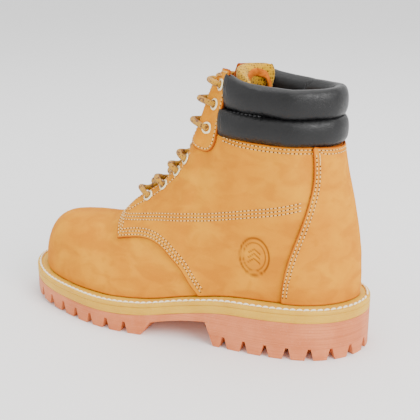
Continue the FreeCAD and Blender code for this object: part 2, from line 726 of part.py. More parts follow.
def build_tongue():
    foam_depth = TONGUE_DEPTH + TONGUE_LEATHER + 0.1
    mesh_depth = foam_depth + TONGUE_FOAM + 0.1
    return {"tongue": tongue_sheet(TONGUE_DEPTH, TONGUE_LEATHER),
            "tongue_foam": tongue_sheet(foam_depth, TONGUE_FOAM, -2.0, 2.0),
            "tongue_lining": tongue_sheet(mesh_depth, TONGUE_MESH)}


def build_gussets():
    """Folded suede between the tongue's edges and the lining."""
    parts = {}
    rows = 9
    for side, name in ((LEFT, "lateral"), (RIGHT, "medial")):
        grids = []
        for thick in (0.0, 1.2):
            grid = []
            for i in range(rows):
                z = 104.0 + 54.0 * i / (rows - 1)
                ridge = front_point(0.0, z, 0.0)
                normal = front_normal(LEFT, 8.0, z)
                normal = V(normal.x, 0, normal.z).normalize()
                half = smooth_value(TONGUE_KEYS, z, 1)
                sag = smooth_value(TONGUE_KEYS, z, 2)
                depth = TONGUE_DEPTH + sag + 6.0
                base = ridge - normal * depth + V(0, side * (half + 0.6 + thick), 0)
                grid.append([base - normal * (step * 5.0) for step in range(4)])
            grids.append(grid)
        parts["gusset_" + name] = slab_between(*grids)
    return parts


# ---------------------------------------------------------------- write the parts
def all_parts():
    parts = {}
    for build in (build_sole, build_vamp_parts, build_quarters, build_overlays, build_collar,
                  build_eyelets, build_lace, build_tongue, build_gussets):
        parts.update(build())
    parts["welt_thread"] = build_welt_thread()
    return parts


def main():
    os.makedirs("parts", exist_ok=True)
    for name, shape in all_parts().items():
        solids = shape.Solids
        box = shape.BoundBox
        print("%-26s solids %d valid %s volume %9.1f x %.1f..%.1f y %.1f..%.1f z %.1f..%.1f" % (
            name, len(solids), shape.isValid(), shape.Volume, box.XMin, box.XMax, box.YMin,
            box.YMax, box.ZMin, box.ZMax))
        shape.exportStep("parts/" + name + ".step")


main()
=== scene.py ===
import math

import bmesh
import bpy
import numpy as np
from mathutils import Matrix, Vector, noise


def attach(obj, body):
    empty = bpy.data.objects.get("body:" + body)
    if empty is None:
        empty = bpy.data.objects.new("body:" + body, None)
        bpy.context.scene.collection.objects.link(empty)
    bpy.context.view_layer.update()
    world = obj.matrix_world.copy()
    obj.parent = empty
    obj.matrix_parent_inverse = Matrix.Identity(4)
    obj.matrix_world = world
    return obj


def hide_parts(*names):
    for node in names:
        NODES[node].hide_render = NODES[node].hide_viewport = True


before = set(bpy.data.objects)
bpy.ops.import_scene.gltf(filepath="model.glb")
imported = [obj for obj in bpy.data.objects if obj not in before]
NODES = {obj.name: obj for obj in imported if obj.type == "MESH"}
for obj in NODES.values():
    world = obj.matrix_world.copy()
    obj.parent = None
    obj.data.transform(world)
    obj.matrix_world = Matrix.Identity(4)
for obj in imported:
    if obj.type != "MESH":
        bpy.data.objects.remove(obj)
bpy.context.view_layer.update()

# Everything below is worked out in millimetres, in the CAD frame, and turned into metres
# only when a mesh is made.
MM = 0.001
MID_Y = 2.0
LEFT, RIGHT = -1, 1
SIDES = ((LEFT, "lateral"), (RIGHT, "medial"))
UP = np.array([0.0, 0.0, 1.0])

SOLE_OUTLINE = ((155, 1), (150, -19), (133, -38), (100, -50), (60, -52), (20, -52), (-25, -58),
                (-65, -56), (-100, -45), (-128, -32), (-148, -12), (-155, 9), (-150, 29),
                (-133, 45), (-105, 55), (-68, 58), (-30, 53), (10, 45), (50, 40.5), (88, 41),
                (124, 38.5), (147, 23))
FEATHER_OUTLINE = ((143, 1), (136, -16), (120, -29), (95, -36), (60, -38), (20, -41),
                   (-25, -47), (-65, -46), (-100, -36), (-126, -23), (-141, -6), (-146, 9),
                   (-140, 27), (-124, 39), (-100, 45.5), (-68, 47), (-30, 42), (10, 34.5),
                   (50, 31), (90, 31), (120, 26), (138, 14))
WELT_LINE = ((-175, 34), (-150, 29.5), (-100, 25), (-60, 24.8), (-20, 27), (15, 33), (60, 39.6),
             (110, 40.6), (175, 41.5))
WELT_THICKNESS = 3.2
MIDSOLE_THICKNESS = 6.8

# Place along the side, x, distance from the middle, height and squareness of each rib.
TOP_KEYS = ((0.00, 122.0, 0.0, 224.0, 1.00),
            (0.05, 120.8, 9.2, 224.0, 1.00),
            (0.12, 113.0, 20.0, 224.0, 1.00),
            (0.23, 92.0, 31.5, 224.0, 1.00),
            (0.34, 68.0, 30.5, 224.0, 1.00),
            (0.43, 49.0, 20.5, 224.0, 1.05),
            (0.49, 37.5, 7.5, 224.0, 1.10),
            (0.53, 26.0, 6.0, 187.0, 1.18),
            (0.575, 12.5, 6.0, 155.0, 1.22),
            (0.62, -13.0, 6.0, 123.0, 1.35),
            (0.66, -40.0, 4.0, 103.0, 1.55),
            (0.69, -55.0, 0.8, 88.0, 1.80),
            (0.73, -67.0, 0.15, 81.5, 2.10),
            (0.79, -88.0, 0.15, 80.0, 2.35),
            (0.87, -104.0, 0.15, 78.5, 2.35),
            (1.00, -113.0, 0.15, 76.5, 2.05))
WAIST_KEYS = ((0.0, 2.6), (0.10, 1.8), (0.18, 0.5), (0.24, 0.0), (1.0, 0.0))
SWELL_KEYS = ((0.0, 3.6), (0.12, 3.0), (0.23, 1.8), (0.43, 0.0), (1.0, 0.0))

VAMP_SEAM = ((30, 10), (26, 36), (20, 43), (12, 54), (2, 64), (-8, 72), (-20, 75.5), (-34, 74.5),
             (-49, 71))
TIP = ((-49, 71), (-53, 80), (-58, 92))
HEEL_COVER_EDGE = ((109.5, 162), (111, 150), (111.8, 134), (110.0, 118), (105.4, 98), (99.6, 78),
                   (96, 60), (94.5, 10))
HEEL_COVER_TOP = ((110, 161.8), (140, 158.4), (165, 155))
# Height, and how far back the stitching of the heel cover's front edge may run there.
HEEL_STITCH_LIMIT = ((0, 108), (60, 108), (98, 116), (118, 122), (140, 122), (150, 119),
                     (165, 119))
TOP_EDGE = ((40, 167), (57, 164.2), (80, 162.4), (110, 161.6), (165, 155))
SIDE_SEAM = ((-70, 86), (-44, 90), (-7, 97), (28, 102), (61, 109), (85, 114), (116, 122))
EYESTAY_EDGE = ((8, 158), (15, 153.5), (23, 150.5), (30, 150.5), (35, 154), (38, 162))
EYESTAY_TOP = 213.0
SLOT_HALF = 12.0
EYELET_OFFSETS = (18.0, 18.0, 18.0, 19.0, 21.0, 19.0, 19.0)
EYELET_HEIGHTS = (105.0, 116.0, 129.0, 140.0, 168.0, 186.0, 201.0)
UPPER_EYELETS = 4
# How far each panel's face stands out from the last.
VAMP_OUT, QUARTER_OUT, COVER_OUT, EYESTAY_OUT = 0.0, 2.2, 4.2, 4.3
# The ribs swell away from an upright axis at this x, and draw in at this share of the rise.
ANKLE_X, WAIST_RISE, WAIST_SPREAD = 75.0, 0.5, 0.26
THREAD_RADIUS = 0.42
# Diamonds of the braid per radian round the lace, and its length along the lace.
BRAID_TURNS, BRAID_PITCH = 4 / math.pi, 1.25


# ------------------------------------------------------------------ curves and the last
def unit(v):
    return v / np.maximum(np.linalg.norm(v, axis=-1), 1e-9)[..., None]


def run_length(line):
    """Length from the start of a line to each of its points."""
    return np.concatenate([[0], np.cumsum(np.linalg.norm(np.diff(line, axis=0), axis=1))])


def read_off(places, keys, rows):
    """Rows of coordinates read off at places between the keys."""
    return np.stack([np.interp(places, keys, rows[:, c]) for c in range(rows.shape[1])], -1)


def smooth(keys, place, column=1):
    """Monotone cubic through the keys, for an array of places."""
    k = np.array([row[0] for row in keys], float)
    v = np.array([row[column] for row in keys], float)
    step, rise = np.diff(k), np.diff(v)
    slope = rise / step
    tangent = np.concatenate([[slope[0]], np.zeros(len(k) - 2), [slope[-1]]])
    same = slope[:-1] * slope[1:] > 0
    both = slope[:-1] + slope[1:]
    tangent[1:-1][same] = (2 * slope[:-1] * slope[1:] / np.where(same, both, 1))[same]
    place = np.clip(place, k[0], k[-1])
    i = np.clip(np.searchsorted(k, place, "right") - 1, 0, len(k) - 2)
    h = step[i]
    f = (place - k[i]) / h
    return ((1 + 2 * f) * (1 - f) ** 2 * v[i] + f * (1 - f) ** 2 * h * tangent[i]
            + f * f * (3 - 2 * f) * v[i + 1] + f * f * (f - 1) * h * tangent[i + 1])


def spline(points, closed=False, per_span=40):
    """Dense points on a smooth cubic curve through a few points."""
    p = np.array(points, float)
    n = len(p)
    ahead = np.roll(p, -1, 0)
    h = np.linalg.norm(ahead - p, axis=1)
    a, rhs = np.eye(n), np.zeros(p.shape)
    for i in range(n):
        if closed or 0 < i < n - 1:
            before, after = (i - 1) % n, (i + 1) % n
            a[i] = 0
            a[i, before] += h[before]
            a[i, i] += 2 * (h[before] + h[i])
            a[i, after] += h[i]
            rhs[i] = 6 * ((p[after] - p[i]) / h[i] - (p[i] - p[before]) / h[before])
    m = np.linalg.solve(a, rhs)
    runs = []
    for i in range(n if closed else n - 1):
        j = (i + 1) % n
        f = np.linspace(0, 1, per_span, endpoint=False)[:, None]
        g = 1 - f
        runs.append(g * p[i] + f * p[j] + h[i] ** 2 / 6 * ((g ** 3 - g) * m[i]
                                                          + (f ** 3 - f) * m[j]))
    runs.append(p[:1] if closed else p[-1:])
    return np.vstack(runs)


class Outline:
    """A closed plan outline, by length from its start at the heel."""

    def __init__(self, points):
        self.xy = spline(points, closed=True, per_span=120)
        self.s = run_length(self.xy)
        self.length = self.s[-1]
        along = np.roll(self.xy[:-1], -1, 0) - np.roll(self.xy[:-1], 1, 0)
        along /= np.linalg.norm(along, axis=1)[:, None]
        self.tangent = np.vstack([along, along[:1]])

    def at(self, s, inset=0.0):
        s = np.mod(s, self.length)
        inward = read_off(s, self.s, self.tangent)[..., ::-1] * [inset, -inset]
        return read_off(s, self.s, self.xy) + inward


SOLE = Outline(SOLE_OUTLINE)
FEATHER = Outline(FEATHER_OUTLINE)


def middle_crossing(low, high):
    start = FEATHER.at(low)[1] - MID_Y
    for _ in range(40):
        middle = (low + high) / 2
        same = (FEATHER.at(middle)[1] - MID_Y) * start > 0
        low, high = (middle, high) if same else (low, middle)
    return (low + high) / 2


HEEL_LENGTH = middle_crossing(-20.0, 20.0)
TOE_LENGTH = middle_crossing(0.42 * FEATHER.length, 0.55 * FEATHER.length)


def lasted(u, t):
    """The lasted surface: u runs 0..1 on the outer side and 1..2 on the inner side."""
    u, t = np.broadcast_arrays(np.asarray(u, float) % 2.0, np.asarray(t, float))
    place = np.where(u <= 1, u, 2 - u)
    side = np.where(u <= 1, -1.0, 1.0)
    outer = TOE_LENGTH - HEEL_LENGTH
    foot = FEATHER.at(HEEL_LENGTH + place * np.where(u <= 1, outer, outer - FEATHER.length))
    foot_z = smooth(WELT_LINE, foot[..., 0]) + 0.35
    x, offset, z, square = (smooth(TOP_KEYS, place, c) for c in range(1, 5))
    angle = t * math.pi / 2
    c, s = np.maximum(np.cos(angle), 0), np.sin(angle)
    scale = (c ** square + s ** square) ** (-1 / square)
    out, rise = c * scale, s * scale
    top_y = MID_Y + side * offset
    point = np.stack([x + (foot[..., 0] - x) * out, top_y + (foot[..., 1] - top_y) * out,
                      foot_z + (z - foot_z) * rise], -1)
    swell = smooth(SWELL_KEYS, place) * np.sin(2 * math.pi * rise)
    swell = swell - smooth(WAIST_KEYS, place) * np.exp(-((rise - WAIST_RISE) / WAIST_SPREAD) ** 2)
    away = point[..., :2] - np.array([ANKLE_X, MID_Y])
    away /= np.maximum(np.linalg.norm(away, axis=-1), 1e-6)[..., None]
    point[..., :2] += away * swell[..., None]
    return point


def lasted_normal(u, t):
    du, dt = 0.004, 0.01
    u, t = np.broadcast_arrays(np.asarray(u, float), np.asarray(t, float))
    along_u = lasted(u + du, t) - lasted(u - du, t)
    along_t = lasted(u, np.minimum(t + dt, 1)) - lasted(u, np.maximum(t - dt, 0))
    n = np.cross(along_t, along_u)
    place = np.where(u % 2 <= 1, u % 2, 2 - u % 2)
    n[..., 1] = np.where((t > 0.999) & (place > 0.72), 0, n[..., 1])
    return unit(n)


def height_place(u, z):
    low, high = np.zeros(np.shape(u)), np.ones(np.shape(u))
    for _ in range(24):
        middle = (low + high) / 2
        below = lasted(u, middle)[..., 2] < z
        low, high = np.where(below, middle, low), np.where(below, high, middle)
    return (low + high) / 2


def front_place(side, offset, z):
    """u and t of the instep at a height and a distance from the middle plane."""
    low, high = 0.40, 0.70
    for _ in range(24):
        middle = (low + high) / 2
        u = middle if side == LEFT else 2 - middle
        far = lasted(u, 1.0)[2] < z or abs(lasted(u, height_place(u, z))[1] - MID_Y) < offset
        low, high = (low, middle) if far else (middle, high)
    u = (low + high) / 2
    u = u if side == LEFT else 2 - u
    return u, float(height_place(u, z))


def front_point(offset, z, distance):
    """Point of the instep by signed offset from the middle, height and distance outwards."""
    side = LEFT if offset < 0 else RIGHT
    reach = max(abs(offset), 8.0)
    u, t = front_place(side, reach, z)
    point, n = lasted(u, t), lasted_normal(u, t)
    n = unit(n * np.array([1, abs(offset) / reach, 1]))
    return np.array([point[0], MID_Y + offset, point[2]]) + n * distance


def wave(points, size, seed=0.0, octaves=2):
    """Smooth noise of about -1..1 at points, with features of a size in millimetres."""
    shift = Vector((seed * 13.7, seed * 7.1, seed * 3.3))
    flat = np.reshape(points, (-1, 3)) / size
    values = [noise.fractal(Vector(p) + shift, 1.0, 2.0, octaves) for p in flat.tolist()]
    return np.reshape(values, np.shape(points)[:-1])


# ------------------------------------------------------------------ outlines in side view
def side_distance(points, polygon):
    """Distance in side view to a closed outline, positive inside it."""
    q = points[..., [0, 2]].reshape(-1, 2)
    a = np.array(polygon, float)
    b = np.roll(a, -1, 0)
    best = np.full(len(q), 1e9)
    crossings = np.zeros(len(q), int)
    for start, end in zip(a, b):
        along = end - start
        size = along @ along
        if size < 1e-12:
            continue
        f = np.clip(((q - start) @ along) / size, 0, 1)
        best = np.minimum(best, np.linalg.norm(q - start - f[:, None] * along, axis=1))
        spans = (start[1] > q[:, 1]) != (end[1] > q[:, 1])
        x = start[0] + (q[:, 1] - start[1]) * along[0] / (along[1] if along[1] else 1e-9)
        crossings += spans & (q[:, 0] < x)
    inside = crossings % 2 == 1
    return np.where(inside, best, -best).reshape(points.shape[:-1])


def path_field(points, path):
    """Signed distance in side view to an open path, positive on its left."""
    q = points[..., [0, 2]].reshape(-1, 2)
    a = np.array(path, float)
    best, sign = np.full(len(q), 1e9), np.ones(len(q))
    for start, end in zip(a[:-1], a[1:]):
        along = end - start
        f = np.clip(((q - start) @ along) / (along @ along), 0, 1)
        apart = q - start - f[:, None] * along
        d = np.linalg.norm(apart, axis=1)
        turn = along[0] * apart[:, 1] - along[1] * apart[:, 0]
        near = d < best - 1e-9
        best = np.where(near, d, best)
        sign = np.where(near, np.sign(turn), sign)
    return (best * sign).reshape(points.shape[:-1])


def surface_gradient(points, field):
    """Gradient of a field along a grid of points."""
    pi, pj = np.gradient(points, axis=0), np.gradient(points, axis=1)
    fi, fj = np.gradient(field, axis=0), np.gradient(field, axis=1)
    e, f, g = (pi * pi).sum(-1), (pi * pj).sum(-1), (pj * pj).sum(-1)
    det = np.maximum(e * g - f * f, 1e-6)
    a, b = (g * fi - f * fj) / det, (e * fj - f * fi) / det
    return a[..., None] * pi + b[..., None] * pj


def true_distance(points, field):
    """A side-view distance field turned into distance along the surface near its zero."""
    size = np.linalg.norm(surface_gradient(points, field), axis=-1)
    return field / np.clip(size, 0.25, 1.5)


def contour(points, normals, field, keep, level):
    """Longest run of a field's level line over a grid, as points and normals."""
    f = field - level
    rows, made = [], {}

    def crossing(a, b):
        key = (a, b) if a < b else (b, a)
        if key not in made:
            w = f[a] / (f[a] - f[b])
            made[key] = len(rows)
            rows.append((points[a] * (1 - w) + points[b] * w,
                         normals[a] * (1 - w) + normals[b] * w))
        return made[key]

    flip = (f[:-1, :-1] > 0).astype(int) + (f[1:, :-1] > 0) + (f[1:, 1:] > 0) + (f[:-1, 1:] > 0)
    links = {}
    for i, j in np.argwhere((flip > 0) & (flip < 4) & keep[:-1, :-1]).tolist():
        corner = [(i, j), (i + 1, j), (i + 1, j + 1), (i, j + 1)]
        cut = [crossing(corner[k], corner[(k + 1) % 4]) for k in range(4)
               if (f[corner[k]] > 0) != (f[corner[(k + 1) % 4]] > 0)]
        for a, b in zip(cut[::2], cut[1::2]):
            links.setdefault(a, []).append(b)
            links.setdefault(b, []).append(a)
    best, seen = [], set()
    for start in sorted(links, key=lambda k: len(links[k])):
        run, ahead = [], [] if start in seen else [start]
        while ahead:
            run.append(ahead[0])
            seen.add(ahead[0])
            ahead = [k for k in links[ahead[0]] if k not in seen]
        best = run if len(run) > len(best) else best
    line, up = (np.array([rows[k][c] for k in best]) for c in (0, 1))
    if line[0][2] < line[-1][2]:
        line, up = line[::-1], up[::-1]
    return resample(line, 1.0, up)


def resample(line, step, extra=None, ease=2):
    """Evenly spaced points along a line, lightly smoothed, with unit normals if given."""
    run = np.linalg.norm(np.diff(line, axis=0), axis=1)
    keep = np.concatenate([[True], run > 1e-6])
    line = line[keep]
    s = run_length(line)
    places = np.linspace(0, s[-1], max(int(round(s[-1] / step)), 1) + 1)
    out = read_off(places, s, line)
    for _ in range(ease):
        out[1:-1] = (out[:-2] + 2 * out[1:-1] + out[2:]) / 4
    if extra is None:
        return out
    return out, unit(read_off(places, s, extra[keep]))


# ------------------------------------------------------------------ meshes
def place_object(name, data):
    obj = bpy.data.objects.new(name, data)
    bpy.context.scene.collection.objects.link(obj)
    return obj


def add_piece(mesh, materials, body):
    """A smooth-shaded object for a mesh, with its materials, riding on a body."""
    for material in materials:
        mesh.materials.append(material)
    mesh.polygons.foreach_set("use_smooth", [True] * len(mesh.polygons))
    obj = place_object(mesh.name, mesh)
    if body:
        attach(obj, body)
    return obj


def add_field(mesh, key, values):
    """Numbers carried by a mesh's points, for its shader."""
    attribute = mesh.attributes.new(key, "FLOAT", "POINT")
    attribute.data.foreach_set("value", np.asarray(values, np.float32))


def add_mesh(name, verts, faces, materials, body, index=None, fields=None):
    """A piece from points in millimetres."""
    mesh = bpy.data.meshes.new(name)
    mesh.from_pydata((np.asarray(verts, float) * MM).tolist(), [], [list(f) for f in faces])
    obj = add_piece(mesh, materials, body)
    if index is not None:
        mesh.polygons.foreach_set("material_index", np.asarray(index, np.int32))
    for key, values in (fields or {}).items():
        add_field(mesh, key, values)
    mesh.update()
    return obj


def ring_faces(rows, count, closed=False, caps=False, first=0):
    """Faces between rings of points, each ring with the same count."""
    faces = []
    for r in range(rows if closed else rows - 1):
        for k in range(count):
            here, ahead = first + r * count, first + (r + 1) % rows * count
            b = (k + 1) % count
            faces.append((here + k, here + b, ahead + b, ahead + k))
    if caps:
        faces += [list(range(first, first + count))[::-1],
                  list(range(first + (rows - 1) * count, first + rows * count))]
    return faces


def edge_profile(radius, thickness):
    """Outward and downward steps of a rounded cut edge, from the face to the back."""
    steps = [(radius * math.sin(a), radius * (1 - math.cos(a)))
             for a in (math.radians(d) for d in (22, 45, 68, 90))]
    return steps + [(radius, thickness - 0.25), (radius - 0.25, thickness)]


def panel(name, u, t, outer, thickness, field, radius=0.7,
          borders=(0, 0, 1, 0), relief=None, join=0.35):
    """A leather panel on the lasted surface, trimmed to where the field is positive and to
    the borders of the grid that are set, with a rounded cut edge. Returns its object, and its
    points, normals and distances from the edge, for the stitching that goes on it."""
    u, t = np.broadcast_arrays(u, t)
    base, normal = lasted(u, t), lasted_normal(u, t)
    points = base + normal * outer
    d = true_distance(points, field(base))
    steps_i = np.linalg.norm(np.diff(points, axis=0), axis=-1)
    steps_j = np.linalg.norm(np.diff(points, axis=1), axis=-1)
    run_i = np.vstack([np.zeros((1, u.shape[1])), np.cumsum(steps_i, 0)])
    run_j = np.hstack([np.zeros((u.shape[0], 1)), np.cumsum(steps_j, 1)])
    for on, run in zip(borders, (run_i, run_i[-1:] - run_i, run_j, run_j[:, -1:] - run_j)):
        if on:
            d = np.minimum(d, run)
    if relief:
        points = points + normal * relief(points, d)[..., None]
    outward = -unit(surface_gradient(points, d))
    level = d - radius
    bm = bmesh.new()
    n_key, o_key = (bm.verts.layers.float_vector.new(k) for k in ("n", "o"))
    d_key = bm.verts.layers.float.new("d")
    made = {}

    def vertex(a, b=None):
        key = (a, a) if b is None else ((a, b) if a < b else (b, a))
        if key not in made:
            if b is None:
                p, n, o, depth = points[a], normal[a], outward[a], d[a]
            else:
                w = level[a] / (level[a] - level[b])
                p, n, o, depth = (q[a] * (1 - w) + q[b] * w for q in (points, normal, outward, d))
            v = bm.verts.new(p)
            v[n_key], v[o_key], v[d_key] = Vector(unit(n)), Vector(unit(o)), depth
            made[key] = v
        return made[key]

    inside = level >= 0
    some = inside[:-1, :-1] | inside[1:, :-1] | inside[1:, 1:] | inside[:-1, 1:]
    for i, j in np.argwhere(some).tolist():
        corner = [(i, j), (i + 1, j), (i + 1, j + 1), (i, j + 1)]
        ring = []
        for k in range(4):
            a, b = corner[k], corner[(k + 1) % 4]
            if inside[a]:
                ring.append(vertex(a))
            if inside[a] != inside[b]:
                ring.append(vertex(a, b))
        if len(ring) > 2:
            bm.faces.new(ring)
    bmesh.ops.remove_doubles(bm, verts=bm.verts, dist=join)
    loose = [v for v in bm.verts if not v.link_faces]
    bmesh.ops.delete(bm, geom=loose, context="VERTS")
    face = list(bm.faces)
    if sum((f.normal.dot(f.verts[0][n_key]) for f in face if f.calc_area() > 0.1)) < 0:
        bmesh.ops.reverse_faces(bm, faces=face)
    rim = [e for e in bm.edges if len(e.link_faces) == 1]
    corners = {v for e in rim for v in e.verts}
    home = {v: (v.co.copy(), v[n_key].copy(), v[o_key].copy(), v[d_key]) for v in bm.verts}
    order = []
    for e in rim:
        loop = e.link_loops[0]
        order.append((loop.link_loop_next.vert, loop.vert))
    last = {v: v for v in corners}
    profile = edge_profile(radius, thickness)
    for step, (out, down) in enumerate(profile):
        ring = {}
        for v in corners:
            p, n, o, depth = home[v]
            w = bm.verts.new(p + o * out - n * down)
            w[n_key], w[o_key], w[d_key] = n, o, -out
            ring[v] = w
        for a, b in order:
            f = bm.faces.new((last[a], last[b], ring[b], ring[a]))
            f.material_index = 1 if step >= 2 else 0
        last = ring
    back = last
    for v, (p, n, o, depth) in home.items():
        if v not in back:
            w = bm.verts.new(p - n * thickness)
            w[n_key], w[o_key], w[d_key] = n, o, depth
            back[v] = w
    for f in face:
        bm.faces.new([back[v] for v in reversed(f.verts)]).material_index = 1
    for v in bm.verts:
        v.co *= MM
    bm.normal_update()
    mesh = bpy.data.meshes.new(name)
    depths = [v[d_key] for v in bm.verts]
    bm.to_mesh(mesh)
    bm.free()
    for key in ("n", "o", "d"):
        mesh.attributes.remove(mesh.attributes[key])
    add_field(mesh, "edge", depths)
    add_field(mesh, "press", np.zeros(len(depths)))
    return add_piece(mesh, [NUBUCK, EDGE], "boot"), points, normal, d


def tube(name, line, radius, material, body, sides=12, shape=None, taper=None):
    """A tube along a line, with even turns and no twist. shape(angle, length) adds to it."""
    line = np.asarray(line, float)
    along = unit(np.gradient(line, axis=0))
    side = np.cross(along[0], [0.3, 1.0, 0.2])
    frames = []
    for a in along:
        side = unit(side - a * (side @ a))
        frames.append((side, np.cross(a, side)))
    s = run_length(line)
    angles = np.arange(sides) * 2 * math.pi / sides
    verts = []
    for k, (p, (e, f)) in enumerate(zip(line, frames)):
        r = radius * (taper(s[k] / s[-1]) if taper else 1.0)
        r = r + (shape(angles, s[k]) if shape else 0.0)
        verts.append(p + (r * np.cos(angles))[:, None] * e + (r * np.sin(angles))[:, None] * f)
    return add_mesh(name, np.vstack(verts), ring_faces(len(line), sides, caps=True), [material],
                    body, fields={"turn": np.tile(angles, len(line)),
                                        "run": np.repeat(s, sides)})


def stitches(name, rows, thread, pitch=3.1, length=2.35, radius=THREAD_RADIUS, sink=0.0,
             lean=0.0, holes=True):
    """Rows of separate stitches: each one is a short thread that dives in at both ends, and
    each needle hole is a small dimple coloured with painted shade. A row is (points, normals)."""
    sides, rings = 6, 7
    verts, faces, index = [], [], []
    angles = np.arange(sides)[:, None] * 2 * math.pi / sides
    bow = np.sin(np.linspace(0, math.pi, rings))
    tilt = lean * np.linspace(-1, 1, rings)[:, None]
    size = radius * (0.35 + 0.65 * bow ** 0.5)
    rise = (radius * (1.5 * bow ** 0.6 - 0.75) - sink)[:, None]
    for line, up in rows:
        s = run_length(line)
        for k in range(int((s[-1] - 0.6) / pitch)):
            start = 0.5 + k * pitch
            places = start + length * np.linspace(0, 1, rings)
            p, n = read_off(places, s, line), unit(read_off(places, s, up))
            along = unit(np.gradient(p, axis=0))
            across = unit(np.cross(n, along))
            faces += ring_faces(rings, sides, caps=True, first=len(verts) * sides)
            for c, w, e, f in zip(p + n * rise + across * tilt, size, n, across):
                verts.append(c + w * (np.cos(angles) * e + np.sin(angles) * f))
            index += [0] * (len(faces) - len(index))
            gap = start + length + (pitch - length) / 2
            if holes and gap < s[-1]:
                c = read_off(gap, s, line)
                dimple = ring_faces(3, sides, caps=True, first=len(verts) * sides)
                faces += [face[::-1] for face in dimple]
                for out, down in ((0.66, -0.22), (0.60, 0.08), (0.15, 0.03)):
                    ring = np.cos(angles) * along[-1] + np.sin(angles) * across[-1]
                    verts.append(c + ring * out * radius / THREAD_RADIUS + n[-1] * down)
                index += [1] * (len(faces) - len(index))
    return add_mesh(name, np.vstack(verts), faces, [thread, HOLE_SHADE], "boot", index)


# ------------------------------------------------------------------ materials
class Nodes:
    """Short forms for building a shader."""

    def __init__(self, name):
        self.material = bpy.data.materials.new(name)
        self.material.use_nodes = True
        self.tree = self.material.node_tree
        self.shader = self.tree.nodes["Principled BSDF"]
        self.place = self.tree.nodes.new("ShaderNodeTexCoord").outputs["Object"]

    def make(self, kind, **settings):
        node = self.tree.nodes.new(kind)
        for key, value in settings.items():
            setattr(node, key, value)
        return node

    def link(self, value, socket):
        if isinstance(value, bpy.types.NodeSocket):
            self.tree.links.new(value, socket)
        else:
            socket.default_value = value

    def scaled(self, size, turn=(0, 0, 0)):
        """Coordinates in which one unit is a size in millimetres, or one size for each axis."""
        sizes = size if isinstance(size, tuple) else (size,) * 3
        node = self.make("ShaderNodeMapping")
        self.link(self.place, node.inputs["Vector"])
        node.inputs["Scale"].default_value = [1 / (MM * s) for s in sizes]
        node.inputs["Rotation"].default_value = turn
        return node.outputs[0]

    def noise(self, size, detail=3.0, rough=0.5, warp=0.0):
        node = self.make("ShaderNodeTexNoise")
        self.link(self.scaled(size), node.inputs["Vector"])
        node.inputs["Scale"].default_value = 1.0
        node.inputs["Detail"].default_value = detail
        node.inputs["Roughness"].default_value = rough
        node.inputs["Distortion"].default_value = warp
        return node.outputs[0]

    def cells(self, size, feature="F1", turn=(0, 0, 0), randomness=1.0):
        node = self.make("ShaderNodeTexVoronoi", feature=feature)
        self.link(self.scaled(size, turn), node.inputs["Vector"])
        node.inputs["Scale"].default_value = 1.0
        node.inputs["Randomness"].default_value = randomness
        return node.outputs["Distance"]

    def math(self, operation, a, b=0.0):
        node = self.make("ShaderNodeMath", operation=operation)
        for value, socket in zip((a, b), node.inputs):
            self.link(value, socket)
        return node.outputs[0]

    def times(self, a, b):
        return self.math("MULTIPLY", a, b)

    def ramp(self, value, low, high, start=0.0, end=1.0):
        node = self.make("ShaderNodeMapRange", clamp=True, interpolation_type="SMOOTHSTEP")
        for v, key in ((value, "Value"), (low, "From Min"), (high, "From Max"), (start, "To Min"),
                       (end, "To Max")):
            self.link(v, node.inputs[key])
        return node.outputs[0]

    def mix(self, amount, a, b):
        node = self.make("ShaderNodeMix", data_type="RGBA")
        self.link(amount, node.inputs[0])
        self.link(a, node.inputs[6])
        self.link(b, node.inputs[7])
        return node.outputs[2]

    def field(self, name):
        return self.make("ShaderNodeAttribute", attribute_name=name).outputs["Fac"]

    def bump(self, height, depth, strength=1.0, before=None):
        """Bump whose height of 1 is a depth in millimetres."""
        node = self.make("ShaderNodeBump")
        node.inputs["Strength"].default_value = strength
        node.inputs["Distance"].default_value = depth * MM
        self.link(height, node.inputs["Height"])
        if before:
            self.link(before, node.inputs["Normal"])
        return node.outputs[0]

    def finish(self, color, roughness, normal=None, **values):
        self.link(color, self.shader.inputs["Base Color"])
        self.link(roughness, self.shader.inputs["Roughness"])
        if normal:
            self.link(normal, self.shader.inputs["Normal"])
        for key, value in values.items():
            self.shader.inputs[key.replace("_", " ")].default_value = value
        return self.material


def srgb(r, g, b):
    """Linear colour from screen values of 0..255."""
    def linear(v):
        v /= 255
        return v / 12.92 if v <= 0.04045 else ((v + 0.055) / 1.055) ** 2.4
    return (linear(r), linear(g), linear(b), 1.0)


def nubuck(name):
    m = Nodes(name)
    cloud = m.ramp(m.noise(38.0, 3.0, 0.55, warp=0.4), 0.32, 0.68)
    brushed = m.ramp(m.noise((21.0, 16.0, 12.0), 3.0, 0.5, warp=0.8), 0.38, 0.66)
    marks = m.ramp(m.noise((6.0, 5.0, 4.2), 2.0, 0.5, warp=0.5), 0.60, 0.80)
    nap = m.noise(0.55, 3.0, 0.7)
    color = m.mix(m.times(cloud, 0.75), srgb(213, 132, 0), srgb(230, 156, 18))
    color = m.mix(m.times(brushed, 0.46), color, srgb(190, 106, 0))
    color = m.mix(m.times(marks, 0.16), color, srgb(172, 88, 0))
    color = m.mix(m.ramp(nap, 0.35, 0.7, 0.0, 0.14), color, srgb(240, 170, 40))
    # Darker towards each panel's cut edge and over its rounded rim: partly edge wear, partly
    # painted shade along the edge where panels overlap.
    edge_wear_and_shade = m.ramp(m.field("edge"), 0.2, 1.7, 0.8, 0.0)
    color = m.mix(edge_wear_and_shade, color, srgb(158, 66, 2))
    pressed = m.field("press")
    color = m.mix(m.times(pressed, 0.85), color, srgb(118, 48, 0))
    rough = m.ramp(nap, 0.2, 0.8, 0.78, 0.95)
    fine = m.bump(nap, 0.10, 0.55)
    normal = m.bump(m.noise((2.6, 2.6, 1.8), 3.0, 0.6, warp=0.5), 0.22, 0.5, fine)
    return m.finish(color, rough, normal, Sheen_Weight=0.12, Sheen_Roughness=0.45,
                    Sheen_Tint=srgb(255, 180, 90), Specular_IOR_Level=0.12)


